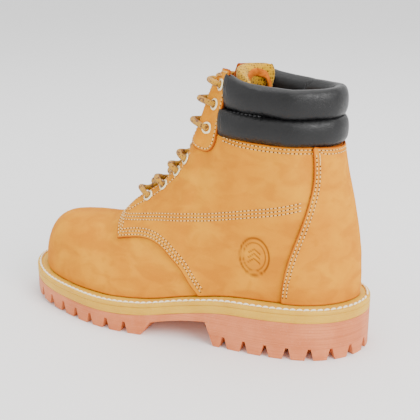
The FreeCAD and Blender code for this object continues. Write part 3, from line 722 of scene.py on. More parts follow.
def cut_edge(name):
    m = Nodes(name)
    fibre = m.noise((0.9, 0.9, 0.5), 4.0, 0.65)
    color = m.mix(m.ramp(fibre, 0.3, 0.7), srgb(128, 54, 10), srgb(176, 84, 14))
    return m.finish(color, 0.9, m.bump(fibre, 0.18, 0.7), Specular_IOR_Level=0.15)


def suede(name):
    m = Nodes(name)
    nap = m.noise(0.6, 4.0, 0.7)
    patch = m.ramp(m.noise(7.0, 3.0, 0.6, warp=0.8), 0.3, 0.7)
    color = m.mix(patch, srgb(200, 104, 18), srgb(158, 72, 6))
    color = m.mix(m.ramp(nap, 0.4, 0.7, 0, 0.3), color, srgb(226, 138, 44))
    return m.finish(color, 0.95, m.bump(nap, 0.22, 0.8), Sheen_Weight=0.15,
                    Sheen_Tint=srgb(255, 190, 110), Specular_IOR_Level=0.1)


def collar_leather(name):
    m = Nodes(name)
    grain = m.cells(0.95, "DISTANCE_TO_EDGE")
    pebbles = m.ramp(grain, 0.02, 0.32)
    fine = m.noise(0.35, 2.0, 0.6)
    wide = m.noise(11.0, 3.0, 0.5)
    color = m.mix(m.ramp(wide, 0.3, 0.7), srgb(8, 8, 9), srgb(14, 14, 15))
    color = m.mix(m.ramp(pebbles, 0.0, 0.5, 0.45, 0.0), color, srgb(12, 12, 13))
    rough = m.ramp(m.math("ADD", m.times(fine, 0.4), m.times(wide, 0.6)),
                   0.3, 0.7, 0.27, 0.38)
    normal = m.bump(m.noise((6.0, 6.0, 3.0), 3.0, 0.55), 0.35, 0.5,
                    m.bump(pebbles, 0.10, 0.75, m.bump(fine, 0.03, 0.5)))
    return m.finish(color, rough, normal, Specular_IOR_Level=0.36)


def mesh_cloth(name, base, deep, size, bias):
    """Spacer mesh: a close knit with rows of open cells, painted dark inside as shade."""
    m = Nodes(name)
    holes = m.cells((size, size * 0.86, size), turn=(0.5, 0.4, 0.8), randomness=0.28)
    open_cell = m.ramp(holes, 0.20 * bias, 0.40 * bias, 1.0, 0.0)
    yarn = m.noise(0.32, 3.0, 0.7)
    tone = m.ramp(m.noise(9.0, 2.0, 0.5), 0.3, 0.7)
    color = m.mix(m.times(tone, 0.5), srgb(*base), srgb(220, 176, 0))
    color = m.mix(m.ramp(yarn, 0.35, 0.65, 0.0, 0.5), color, srgb(158, 108, 0))
    # Painted shade: the open cells take the dark colour in place of the shade inside the holes.
    color = m.mix(m.times(open_cell, 0.85), color, srgb(*deep))
    normal = m.bump(holes, 0.9, 0.8, m.bump(yarn, 0.12, 0.6))
    return m.finish(color, 0.9, normal, Sheen_Weight=0.25, Specular_IOR_Level=0.2)


def rubber(name, base, light, dark, streaks):
    m = Nodes(name)
    lines = m.noise((60.0, 60.0, 0.55), 4.0, 0.62, warp=0.15)
    cloud = m.noise(26.0, 3.0, 0.55)
    speck = m.noise(0.8, 2.0, 0.6)
    color = m.mix(m.ramp(cloud, 0.3, 0.7), srgb(*base), srgb(*light))
    color = m.mix(m.ramp(lines, 0.40, 0.72, 0.0, streaks), color, srgb(*dark))
    color = m.mix(m.ramp(speck, 0.55, 0.75, 0.0, 0.12), color, srgb(255, 228, 200))
    rough = m.ramp(lines, 0.3, 0.7, 0.46, 0.62)
    normal = m.bump(lines, 0.10, 0.4, m.bump(speck, 0.05, 0.4))
    return m.finish(color, rough, normal, Specular_IOR_Level=0.4, Subsurface_Weight=0.06,
                    Subsurface_Scale=0.004)


def thread_material(name, base, dark):
    m = Nodes(name)
    ply = m.noise((0.5, 0.5, 0.5), 3.0, 0.7)
    color = m.mix(m.ramp(ply, 0.3, 0.7), srgb(*base), srgb(*dark))
    return m.finish(color, 0.75, m.bump(ply, 0.12, 0.7), Sheen_Weight=0.3)


# Dark colour of the needle-hole dimples: painted shade inside the holes.
def hole_shade_material(name):
    m = Nodes(name)
    return m.finish(m.mix(m.noise(1.2), srgb(58, 22, 2), srgb(88, 38, 4)), 0.95)


def metal(name, base, rough, wear):
    m = Nodes(name)
    marks = m.noise(1.4, 3.0, 0.6)
    color = m.mix(m.ramp(marks, 0.45, 0.75, 0.0, 0.5), srgb(*base), srgb(*wear))
    return m.finish(color, m.ramp(marks, 0.3, 0.7, rough - 0.08, rough + 0.12),
                    m.bump(marks, 0.04, 0.5), Metallic=0.85)


def plain_soft(name, base, dark, size):
    m = Nodes(name)
    open_cells = m.cells(size)
    cloud = m.noise(8.0, 3.0)
    color = m.mix(m.ramp(cloud, 0.3, 0.7), srgb(*base), srgb(*dark))
    return m.finish(color, 0.9, m.bump(open_cells, 0.25, 0.7))


def braid_material(name):
    """Round braided lace: gold strands with brown flecks, crossing in diamonds, with painted shade
    in the grooves between strands.
    """
    m = Nodes(name)
    turn, run = m.field("turn"), m.field("run")
    spin = m.times(turn, BRAID_TURNS)
    rise = m.math("DIVIDE", run, BRAID_PITCH)
    one = m.math("FRACT", m.math("ADD", spin, rise))
    two = m.math("FRACT", m.math("SUBTRACT", spin, rise))
    ridge_one = m.math("SINE", m.times(one, math.pi))
    ridge_two = m.math("SINE", m.times(two, math.pi))
    height = m.math("MAXIMUM", ridge_one, ridge_two)
    # Painted shade in the grooves between the crossing strands.
    groove = m.ramp(height, 0.74, 0.98, 1.0, 0.0)
    fleck = m.noise((2.6, 2.6, 2.6), 1.0, 0.5)
    strand = m.ramp(fleck, 0.56, 0.60)
    fibre = m.noise(0.35, 3.0, 0.7)
    color = m.mix(m.ramp(fibre, 0.3, 0.7, 0.0, 0.5), srgb(224, 164, 0), srgb(192, 128, 0))
    color = m.mix(m.times(strand, 0.85), color, srgb(86, 32, 0))
    color = m.mix(m.times(groove, 0.6), color, srgb(110, 56, 0))
    normal = m.bump(height, 0.55, 0.9, m.bump(fibre, 0.08, 0.6))
    return m.finish(color, 0.62, normal, Sheen_Weight=0.25, Specular_IOR_Level=0.35)


NUBUCK = nubuck("nubuck_leather")
EDGE = cut_edge("cut_leather_edge")
SUEDE = suede("tan_suede")
BLACK = collar_leather("black_collar_leather")
MESH = mesh_cloth("yellow_spacer_mesh", (206, 152, 0), (84, 48, 0), 2.3, 1.15)
DEEP_MESH = mesh_cloth("shaded_spacer_mesh", (180, 124, 0), (60, 32, 0), 2.6, 1.25)
WELT_RUBBER = rubber("welt_rubber", (212, 158, 20), (226, 176, 40), (190, 130, 8), 0.3)
TREAD_RUBBER = rubber("tread_rubber", (206, 114, 62), (222, 132, 80), (176, 82, 36), 0.5)
THREAD = thread_material("cream_thread", (248, 214, 140), (214, 164, 76))
WELT_THREAD = thread_material("welt_thread_cream", (255, 250, 232), (238, 220, 172))
# Painted shade for the inside of the needle holes.
HOLE_SHADE = hole_shade_material("needle_hole_shade")
BLACK_THREAD = thread_material("black_thread", (34, 34, 36), (20, 20, 22))
LACE = braid_material("gold_brown_braid")
EYELET = metal("pale_brass", (250, 240, 196), 0.38, (226, 208, 148))
FOAM = plain_soft("padding_foam", (214, 206, 176), (190, 178, 140), 0.9)
BOARD = plain_soft("insole_board", (188, 160, 118), (160, 132, 90), 0.5)
STEEL = metal("pressed_steel", (176, 178, 182), 0.4, (140, 142, 146))
PLASTIC = plain_soft("brown_plastic", (84, 54, 28), (64, 40, 20), 0.4)


# ------------------------------------------------------------------ upper
def mirrored(side, places):
    return places if side == LEFT else 2.0 - places


def uneven(low, high, step, fine=()):
    """Places from low to high in even steps, closer together inside the fine spans."""
    edges = sorted({low, high} | {e for a, b, _ in fine for e in (a, b)})
    places = []
    for a, b in zip(edges, edges[1:]):
        size = min([s for lo, hi, s in fine if lo <= (a + b) / 2 <= hi] + [step])
        places.append(np.linspace(a, b, max(int(math.ceil((b - a) / size)), 1), endpoint=False))
    return np.concatenate(places + [[high]])


def quarter_polygon():
    rows = [spline(VAMP_SEAM)[:-1], spline(TIP)[:-1],
            np.array([(-58, 92), (-75, 130), (10, EYESTAY_TOP), (44, EYESTAY_TOP)], float),
            spline(TOP_EDGE), np.array([(165, 10)], float)]
    return np.vstack(rows)


SLOT_POLYGON = np.array([(-80, 84), (-80, 260), (80, 260), (80, 200), (30, 84)], float)


def quarter_field(p):
    beside = np.abs(p[..., 1] - MID_Y) - SLOT_HALF
    slot = np.minimum(side_distance(p, SLOT_POLYGON), -beside)
    return np.minimum(side_distance(p, quarter_polygon()), -slot)


def dips(p, rows, width=1.3, depth=0.28):
    """Shallow valleys where rows of stitching pull the leather down."""
    total = np.zeros(p.shape[:-1])
    for field, level in rows:
        total -= depth * np.exp(-((field - level) / width) ** 2)
    return total


EMBLEM_CENTRE = np.array([73.0, 76.0])
EMBLEM_HALF = np.array([12.6, 15.6])
EMBLEM_RADIUS = 14.0


def emblem_press(p):
    """How deep a plain debossed mark is: two ovals round three simple hills."""
    q = (p[..., [0, 2]] - EMBLEM_CENTRE) / EMBLEM_HALF
    r = np.linalg.norm(q, axis=-1)
    outer, inner = ((r - place) * EMBLEM_RADIUS / width for place, width in ((0.95, 0.75),
                                                                             (0.72, 0.5)))
    line = np.exp(-outer ** 2) + 0.8 * np.exp(-inner ** 2)
    x, z = q[..., 0] * EMBLEM_HALF[0], q[..., 1] * EMBLEM_HALF[1]
    hills = np.zeros(r.shape)
    for low in (-4.6, -0.8, 3.0):
        ridge = low + 3.2 - np.abs(x) * 0.75
        hills = np.maximum(hills, np.exp(-((z - ridge) / 0.55) ** 2) * (np.abs(x) < 5.0))
    return np.minimum(line + hills, 1.0) * (r < 1.15)


def leather_relief(p, rows, seed, press=0.0):
    bulk = 0.35 * wave(p, 26.0, seed) + 0.10 * wave(p, 7.0, seed + 3)
    return bulk + dips(p, rows) - 0.55 * press


def make_quarter(side, name):
    emblem = side == LEFT
    fine_u = ((0.185, 0.275, 0.0011),) if emblem else ()
    fine_t = ((0.10, 0.36, 0.0042),) if emblem else ()
    u = mirrored(side, uneven(0.0, 0.715, 0.0045, fine_u))[:, None]
    t = uneven(0.0, 1.0, 0.0105, fine_t)[None, :]
    fields = {}

    def relief(p, d):
        seam = true_distance(p, path_field(p, spline(VAMP_SEAM)[::-1]))
        cross = true_distance(p, path_field(p, spline(SIDE_SEAM)))
        fields.update(seam=seam, cross=cross)
        rows = [(d, 2.4)] + [(np.abs(cross - 1.0) * (d > 9) + 50 * (d <= 9), k)
                             for k in (0.0, 2.7)]
        return leather_relief(p, rows, 2.0 + side, emblem_press(p) if emblem else 0.0)

    piece, points, normal, d = panel("quarter_leather_" + name, u, t, QUARTER_OUT, 1.9,
                                     quarter_field, borders=(1, 0, 1, 0), relief=relief)
    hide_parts("quarter_" + name)
    if emblem:
        carry_emblem(piece)
    x, z = points[..., 0], points[..., 2]
    beside_seam = np.where(z < 60, np.abs(fields["seam"]), d)
    lower_front = (z < 96) & (x < 33) & (d > 0.5) & (run_from_welt(points) > 1.5)
    upper_front = (z > 93) & (x < 42)
    under_collar = (x > 42) & (z > 148)
    rows = [contour(points, normal, field, keep, level) for field, keep, levels in (
        (beside_seam, lower_front, (2.3, 5.0, 7.7)),
        (fields["cross"], (x < 108) & (d > 2.6), (1.2, -1.5, -4.2)),
        (d, upper_front & (z < 151), (2.4,)),
        (d, upper_front & (z < 149), (11.8,)),
        (d, under_collar, (2.2, 4.9))) for level in levels]
    stitches("quarter_stitching_" + name, rows, THREAD)


def run_from_welt(points):
    """Height of a point above the welt."""
    return points[..., 2] - smooth(WELT_LINE, points[..., 0])


def carry_emblem(piece):
    """Carries the depth of the pressed mark to the mesh, for its colour."""
    mesh = piece.data
    co = np.zeros(len(mesh.vertices) * 3)
    mesh.vertices.foreach_get("co", co)
    co = co.reshape(-1, 3) / MM
    values = emblem_press(co) * (co[:, 1] < MID_Y)
    mesh.attributes["press"].data.foreach_set("value", values.astype(np.float32))


def make_vamp():
    place = uneven(0.36, 1.0, 0.0045)
    across = np.linspace(-1, 1, 201)
    u = np.where(across[None, :] <= 0, place[:, None], 2 - place[:, None])
    t = 1 - np.abs(np.broadcast_to(across[None, :], u.shape)) ** 0.92
    edge = np.array([(-170, 0), (-170, 120), (-50, 120), (-50, 89), (-20, 88), (0, 80), (16, 70),
                     (30, 54), (38, 40), (42, 20), (42, 0)], float)

    def relief(p, d):
        toe = np.exp(-((p[..., 0] + 92) / 2.2) ** 2) * (p[..., 2] > 40)
        return 0.45 * wave(p, 30.0, 5.0) + 0.16 * wave(p, 9.0, 8.0, 3) - 0.12 * toe

    piece = panel("vamp_leather", u, t, VAMP_OUT, 1.8, lambda p: side_distance(p, edge),
                  borders=(0, 0, 1, 1), relief=relief, join=0.4)[0]
    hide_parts("vamp")


def make_heel_cover():
    u = np.linspace(-0.30, 0.30, 161)[:, None] % 2.0
    t = np.linspace(0, 0.86, 111)[None, :]
    outline = np.vstack([np.array([(165, 155), (165, 10)], float),
                         spline(HEEL_COVER_EDGE)[::-1], spline(HEEL_COVER_TOP)])
    piece, points, normal, d = panel(
        "heel_cover_leather", u, t, COVER_OUT, 1.7, lambda p: side_distance(p, outline),
        relief=lambda p, d: leather_relief(p, [(d, 2.4), (d, 5.0)], 9.0))
    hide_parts("heel_cover")
    x, z = points[..., 0], points[..., 2]
    low_edge = true_distance(points, path_field(points, spline(HEEL_COVER_EDGE)[::-1]))
    beside_edge = np.where(z < 60, np.abs(low_edge), d)
    front = (x < smooth(HEEL_STITCH_LIMIT, z)) & (z < 157)
    front &= (d > 0.5) & (run_from_welt(points) > 1.5)
    sides = [(points[..., 1] - MID_Y) * side > 0 for side in (LEFT, RIGHT)]
    rows = [contour(points, normal, field, keep, level) for field, keep in (
        (beside_edge, front & sides[0]), (beside_edge, front & sides[1]),
        (d, (z > 148) & (x > 115))) for level in (2.3, 5.0)]
    stitches("heel_cover_stitching", rows, THREAD)


def make_eyestay(side, name):
    u = mirrored(side, np.linspace(0.40, 0.62, 121))[:, None]
    t = np.linspace(0.45, 1.0, 101)[None, :]
    polygon = np.vstack([spline(EYESTAY_EDGE), np.array([(47.5, EYESTAY_TOP), (10, EYESTAY_TOP)])])

    def field(p):
        beside = np.abs(p[..., 1] - MID_Y) - SLOT_HALF
        return np.minimum(side_distance(p, polygon), beside)

    piece, points, normal, d = panel(
        "eyestay_leather_" + name, u, t, EYESTAY_OUT, 1.9, field, borders=(0, 0, 0, 0),
        relief=lambda p, d: leather_relief(p, [(d, 2.2)], 12.0 + side), radius=0.8)
    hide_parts("eyestay_" + name)
    row = contour(points, normal, d, np.ones(d.shape, bool), 2.3)
    stitches("eyestay_stitching_" + name, [row], THREAD)


for side, name in SIDES:
    make_quarter(side, name)
    make_eyestay(side, name)
make_vamp()
make_heel_cover()


# ------------------------------------------------------------------ sole
RING = 520


def sole_ring(outline, inset, drop):
    """Points round the sole, at a height measured from the line of the welt's top."""
    xy = outline.at(np.arange(RING) * outline.length / RING, inset)
    return np.column_stack([xy, smooth(WELT_LINE, xy[:, 0]) + drop])[::-1]


def make_sole_band(name, node, rings, closed=False):
    """A band of welt rubber from its rings, closed on itself or capped above and below."""
    faces = ring_faces(len(rings), RING, closed=closed, caps=not closed)
    piece = add_mesh(name, np.vstack(rings), faces, [WELT_RUBBER], "boot")
    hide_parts(node)


def make_welt():
    """Welt with a stitching groove near its rounded edge."""
    rings = [sole_ring(FEATHER, 3.0, -WELT_THICKNESS), sole_ring(FEATHER, 3.0, 0.0),
             sole_ring(FEATHER, 0.5, 0.0)]
    rings += [sole_ring(SOLE, inset, drop) for inset, drop in (
        (6.2, 0.0), (5.2, 0.0), (4.6, -0.12), (4.2, -0.5), (3.7, -0.75), (3.2, -0.5),
        (2.8, -0.12), (2.3, 0.02), (1.4, 0.0), (0.8, -0.12), (0.35, -0.4), (0.08, -0.9),
        (0.0, -1.5), (0.0, -2.5), (0.12, -3.0), (0.5, -3.2))]
    make_sole_band("welt_band", "welt", rings, closed=True)


def make_midsole():
    top = -WELT_THICKNESS
    low = top - MIDSOLE_THICKNESS
    make_sole_band("midsole_band", "midsole", [sole_ring(SOLE, inset, drop) for inset, drop in (
        (24.0, top), (4.0, top), (0.6, top), (0.18, top - 0.25), (0.0, top - 0.7),
        (-0.12, top - 3.0), (0.0, low + 0.6), (0.25, low + 0.15), (0.8, low), (4.0, low),
        (24.0, low))])


def softened(node, name, material, width):
    """A copy of a CAD node with its sharp edges rounded."""
    source = NODES[node]
    bm = bmesh.new()
    bm.from_mesh(source.data)
    bmesh.ops.remove_doubles(bm, verts=bm.verts, dist=1e-6)
    bmesh.ops.dissolve_limit(bm, angle_limit=math.radians(1.5), verts=bm.verts, edges=bm.edges)
    sharp = [e for e in bm.edges if len(e.link_faces) == 2 and e.calc_face_angle(0) > 0.45]
    bmesh.ops.bevel(bm, geom=sharp, offset=width * MM, segments=2, profile=0.5,
                    affect="EDGES", clamp_overlap=True)
    bmesh.ops.triangulate(bm, faces=[f for f in bm.faces if len(f.verts) > 4])
    mesh = bpy.data.meshes.new(name)
    bm.to_mesh(mesh)
    bm.free()
    mesh.materials.clear()
    obj = add_piece(mesh, [material], "boot")
    mesh.set_sharp_from_angle(angle=math.radians(35))
    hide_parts(node)


def make_welt_stitching():
    """Rope-like stitches that lie in the groove, each overlapping the next a little."""
    pitch, inset, sink = 5.2, 2.5, 0.1
    s = np.linspace(0, SOLE.length, int(SOLE.length / pitch) * 12 + 1)
    xy = SOLE.at(s, inset)
    line = np.column_stack([xy, smooth(WELT_LINE, xy[:, 0]) - sink])
    piece = stitches("welt_stitching", [(line, np.broadcast_to(UP, line.shape))], WELT_THREAD,
                     pitch=pitch, length=5.5, radius=0.85, lean=0.35, holes=False, sink=-0.05)
    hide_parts("welt_thread")


make_welt()
make_midsole()
make_welt_stitching()
softened("outsole", "outsole_tread", TREAD_RUBBER, 0.55)


# ------------------------------------------------------------------ collar
ROLL_LOW, ROLL_SEAM, ROLL_HIGH = 160.9, 181.8, 204.8
ROLL_END = 0.452


def roll_rise(share):
    """Height of the bottom, the seam and the top of the two rolls, from end to end. They rise
    towards the front, and the upper one stands higher on the inner side until its very end."""
    rise = np.maximum(0, np.abs(share) - 0.45) / 0.55
    low = ROLL_LOW + 3.4 * rise
    seam = ROLL_SEAM + 3.2 * rise
    inner = np.where(share < 0, 1.0, 0.0)
    hidden = np.clip((np.abs(share) - 0.80) / 0.2, 0, 1)
    high = ROLL_HIGH + 4.0 * rise + 3.4 * rise ** 4 + inner * (4.0 * rise - 9.0 * hidden)
    return low, seam, high


def make_roll(name, node, upper):
    """A padded roll, blown up by a cloth simulation between its two sewn edges."""
    columns, around = 281, 40
    share = np.sin(np.linspace(-1, 1, columns) * 1.35) / math.sin(1.35)
    u = ROLL_END * share
    low, seam, high = roll_rise(share)
    low, high = (seam - 1.0, high) if upper else (low, seam + 1.0)
    middle, half = (low + high) / 2, (high - low) / 2
    t = height_place(u % 2.0, middle)
    centre = lasted(u % 2.0, t)
    n = unit(lasted_normal(u % 2.0, t) * np.array([1, 1, 0]))
    angles = np.arange(around) * 2 * math.pi / around
    c, s = np.cos(angles), np.sin(angles)
    full = 1 - np.clip((np.abs(share) - 0.925) / 0.055, 0, 1) ** 2
    outer = 1.9 + 4.7 * np.sqrt(np.maximum(full, 0))
    inner = 3.2 + 3.2 * full
    verts = []
    for k in range(columns):
        wide = np.where(c > 0, outer[k], inner[k])
        boxy = np.where(s < 0, 0.8 if upper else 0.42, 0.8)
        across = wide * np.sign(c) * np.abs(c) ** boxy
        up = half[k] * np.sign(s) * np.abs(s) ** 0.92
        verts.append(centre[k] + n[k] * across[:, None] + UP * up[:, None])
    verts = np.vstack(verts)
    piece = add_mesh(name, verts, ring_faces(columns, around, caps=True), [BLACK], None)
    held = np.zeros(len(verts))
    grid = np.arange(len(verts)).reshape(columns, around)
    quarter = around // 4
    for k in ((3 * quarter,) if upper else (quarter, 3 * quarter)):
        held[grid[:, k]] = 1.0
    held[grid[np.abs(share) > 0.93]] = 1.0
    inflate(piece, held, pressure=2.0, frames=14, cap=1.6, grow=0.02)
    modifier = piece.modifiers.new("round", "SUBSURF")
    modifier.levels = modifier.render_levels = 1
    apply_modifiers(piece)
    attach(piece, "boot")
    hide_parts(node)


def make_channel_stitching():
    """Black stitches in the channel between the rolls, pulled in near the front ends."""
    rows = []
    for low, high in ((-0.93, -0.66), (0.66, 0.93)):
        share = np.linspace(low, high, 160)
        seam = roll_rise(share)[1]
        u = (ROLL_END * share) % 2.0
        t = height_place(u, seam)
        n = unit(lasted_normal(u, t) * np.array([1, 1, 0]))
        rows.append(resample(lasted(u, t) + n * 3.0, 1.0, n))
    stitches("collar_channel_stitching", rows, BLACK_THREAD, pitch=3.4, length=2.7, radius=0.55,
             holes=False)


def apply_modifiers(piece):
    depsgraph = bpy.context.evaluated_depsgraph_get()
    mesh = bpy.data.meshes.new_from_object(piece.evaluated_get(depsgraph))
    piece.modifiers.clear()
    piece.data = mesh


def inflate(piece, held, pressure, frames, cap, grow):
    """Blows a closed piece up like cloth, and keeps each point near where it began."""
    scene = bpy.context.scene
    start = np.zeros(len(piece.data.vertices) * 3)
    piece.data.vertices.foreach_get("co", start)
    start = start.reshape(-1, 3)
    big = 20.0  # how many times larger the piece is while the cloth runs
    piece.data.transform(Matrix.Scale(big, 4))
    group = piece.vertex_groups.new(name="held")
    for k in np.nonzero(held > 0)[0].tolist():
        group.add([k], float(held[k]), "REPLACE")
    cloth = piece.modifiers.new("cloth", "CLOTH")
    settings = cloth.settings
    settings.effector_weights.gravity = 0
    settings.use_pressure = True
    settings.uniform_pressure_force = pressure
    settings.vertex_group_mass = "held"
    settings.shrink_min = -grow
    settings.tension_stiffness = settings.compression_stiffness = 12
    settings.bending_stiffness = 0.8
    settings.quality = 6
    scene.frame_start, scene.frame_end = 1, frames
    for k in range(1, frames + 1):
        scene.frame_set(k)
    depsgraph = bpy.context.evaluated_depsgraph_get()
    blown = piece.evaluated_get(depsgraph).to_mesh()
    co = np.zeros(len(blown.vertices) * 3)
    blown.vertices.foreach_get("co", co)
    co = co.reshape(-1, 3) / big
    move = co - start
    size = np.linalg.norm(move, axis=1)
    limit = cap * MM * np.tanh(size / (cap * MM)) / np.maximum(size, 1e-12)
    piece.modifiers.remove(cloth)
    piece.vertex_groups.clear()
    piece.data.vertices.foreach_set("co", (start + move * limit[:, None]).ravel())
    piece.data.update()
    scene.frame_set(1)


make_roll("collar_roll_lower", "collar_lower_roll", False)
make_roll("collar_roll_upper", "collar_upper_roll", True)
make_channel_stitching()


# ------------------------------------------------------------------ eyelets and lace
def eyelet_frames():
    frames = {}
    for side in (LEFT, RIGHT):
        frames[side] = []
        for index, z in enumerate(EYELET_HEIGHTS):
            u, t = front_place(side, EYELET_OFFSETS[index], z)
            outside = EYESTAY_OUT if index >= UPPER_EYELETS else QUARTER_OUT
            frames[side].append((lasted(u, t), lasted_normal(u, t), outside))
    return frames


EYELETS = eyelet_frames()


def make_eyelets(side, name):
    """Rings with a rolled rim."""
    profile = [(2.75, -1.6), (2.75, 0.6), (2.95, 1.05), (3.4, 1.3), (4.1, 1.2), (4.65, 0.75),
               (4.8, 0.35), (4.7, 0.1), (3.6, 0.1), (3.2, -0.2), (3.1, -1.6)]
    count = 40
    verts, faces = [], []
    for centre, n, outside in EYELETS[side]:
        e = unit(np.cross(n, UP))
        f = np.cross(n, e)
        faces += ring_faces(len(profile), count, closed=True, first=len(verts))
        for r, h in profile:
            for k in range(count):
                a = 2 * math.pi * k / count
                verts.append(centre + n * (outside + h) + r * (math.cos(a) * e + math.sin(a) * f))
    piece = add_mesh("eyelet_rings_" + name, verts, faces, [EYELET], "boot")
    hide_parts("eyelets_" + name)


def lace_points():
    """Control points of the lace, from one tucked end to the other."""
    def passage(side, index):
        centre, n, outside = EYELETS[side][index]
        return [centre + n * -4.2, centre + n * (outside + 3.4)]

    def half(side):
        points = []
        for index, z in enumerate(EYELET_HEIGHTS):
            owner = side if index % 2 == 0 else -side
            outside = EYELETS[owner][index][2]
            points += passage(owner, index)
            points.append(front_point(owner * 14.0, z + 1.0, outside + 7.2))
            points.append(front_point(owner * 9.0, z + 0.6, outside + 4.6))
            points.append(front_point(owner * 6.2, z + 2.6, outside - 0.6))
            if index < len(EYELET_HEIGHTS) - 1:
                ahead = EYELET_HEIGHTS[index + 1]
                cross = 2.4 if side == LEFT else -2.4
                points.append(front_point(0.0, (z + ahead) / 2, cross - 0.6))
                points.append(front_point(-owner * 12.5, ahead - 2.0, -4.0))
        owner = side if (len(EYELET_HEIGHTS) - 1) % 2 == 0 else -side
        points.append(front_point(owner * 5.5, EYELET_HEIGHTS[-1] - 3.0, -4.2))
        for z in (184.0, 168.0, 153.0, 140.0, 128.0):
            points.append(front_point(owner * 4.5, z, -7.2))
        return points

    left, right = half(LEFT), half(RIGHT)
    bar = [front_point(-10.0, EYELET_HEIGHTS[0] - 1.5, -3.2),
           front_point(10.0, EYELET_HEIGHTS[0] - 1.5, -3.2)]
    return left[::-1] + bar + right


def nurbs_line(points):
    """Points read from a smooth spline with these control points."""
    curve = bpy.data.curves.new("route", "CURVE")
    curve.dimensions = "3D"
    line = curve.splines.new("NURBS")
    line.points.add(len(points) - 1)
    for p, q in zip(line.points, points):
        p.co = (*(q * MM), 1.0)
    line.order_u = 3
    line.use_endpoint_u = True
    line.resolution_u = 10
    obj = place_object("route", curve)
    bpy.context.view_layer.update()
    mesh = bpy.data.meshes.new_from_object(obj.evaluated_get(
        bpy.context.evaluated_depsgraph_get()))
    co = np.array([v.co for v in mesh.vertices], float) / MM
    bpy.data.objects.remove(obj)
    bpy.data.curves.remove(curve)
    bpy.data.meshes.remove(mesh)
    return co


def make_lace():
    line = resample(nurbs_line(lace_points()), 0.55, ease=1)

    def braid(angles, s):
        one, two = (np.sin(math.pi * np.mod(angles * BRAID_TURNS + way * s / BRAID_PITCH, 1.0))
                    for way in (1, -1))
        return 0.30 * (np.maximum(one, two) - 0.85)

    piece = tube("lace_braid", line, 2.25, LACE, "boot", sides=24, shape=braid)
    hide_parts("lace")
    print("lace length %.0f mm" % run_length(line)[-1])
    for k, (end, inner) in enumerate(((line[0], line[6]), (line[-1], line[-7]))):
        tip = end + unit(end - inner) * np.linspace(-1.0, 18.0, 24)[:, None]
        piece = tube("lace_tip_%d" % (k + 1), tip, 1.5, PLASTIC, "boot", sides=16,
                     taper=lambda f: 1.0 - 0.45 * max(0.0, f - 0.85) / 0.15)
        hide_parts("lace_aglets")


for side, name in SIDES:
    make_eyelets(side, name)
make_lace()


# ------------------------------------------------------------------ tongue
TONGUE_KEYS = ((84, 16.0, 5.0), (104, 20.0, 8.0), (130, 21.0, 10.0), (160, 20.0, 12.0),
               (190, 19.5, 16.0), (221, 21.0, 20.0))
TONGUE_LOW, TONGUE_TOP = 84.0, 215.5
TONGUE_DEPTH, TONGUE_FULL = 11.2, 9.2
# Share of the half width, and how far the top edge is there above its nominal height.
TONGUE_RIM = ((-1.0, -17.0), (-0.5, -6.4), (-0.25, -3.0), (0.0, -0.9), (0.3, 0.1), (0.6, 0.4),
              (0.85, 0.2), (1.0, -1.0))


def tongue_ridge():
    """Ridge of the lasted surface in front of the tongue, and its outward direction."""
    heights = np.linspace(TONGUE_LOW, 222.0, 60)
    ridge, normal = [], []
    for z in heights:
        flat = min(z, EYESTAY_TOP)
        point = front_point(0.0, flat, 0.0)
        u, t = front_place(LEFT, 8.0, flat)
        n = lasted_normal(u, t)
        ridge.append(point + np.array([0.22, 0, 1]) * max(0.0, z - EYESTAY_TOP))
        normal.append(unit(n * np.array([1, 0, 1])))
    return heights, np.array(ridge), np.array(normal)


RIDGE_Z, RIDGE, RIDGE_N = tongue_ridge()


def tongue_at(a, z, depth):
    """Point of the tongue by share of its half width, height and depth under the instep."""
    p, n = read_off(z, RIDGE_Z, RIDGE), read_off(z, RIDGE_Z, RIDGE_N)
    n[..., 2] *= 1 - np.clip((z - 185.0) / 20.0, 0, 1)
    n = unit(n)
    half, sag = (smooth(TONGUE_KEYS, z, c) for c in (1, 2))
    lean = 7.0 * np.clip((z - 203.0) / 13.0, 0, 1) ** 1.6
    point = p - n * (depth + sag * a * a - lean)[..., None]
    point[..., 1] = p[..., 1] + a * half
    return point


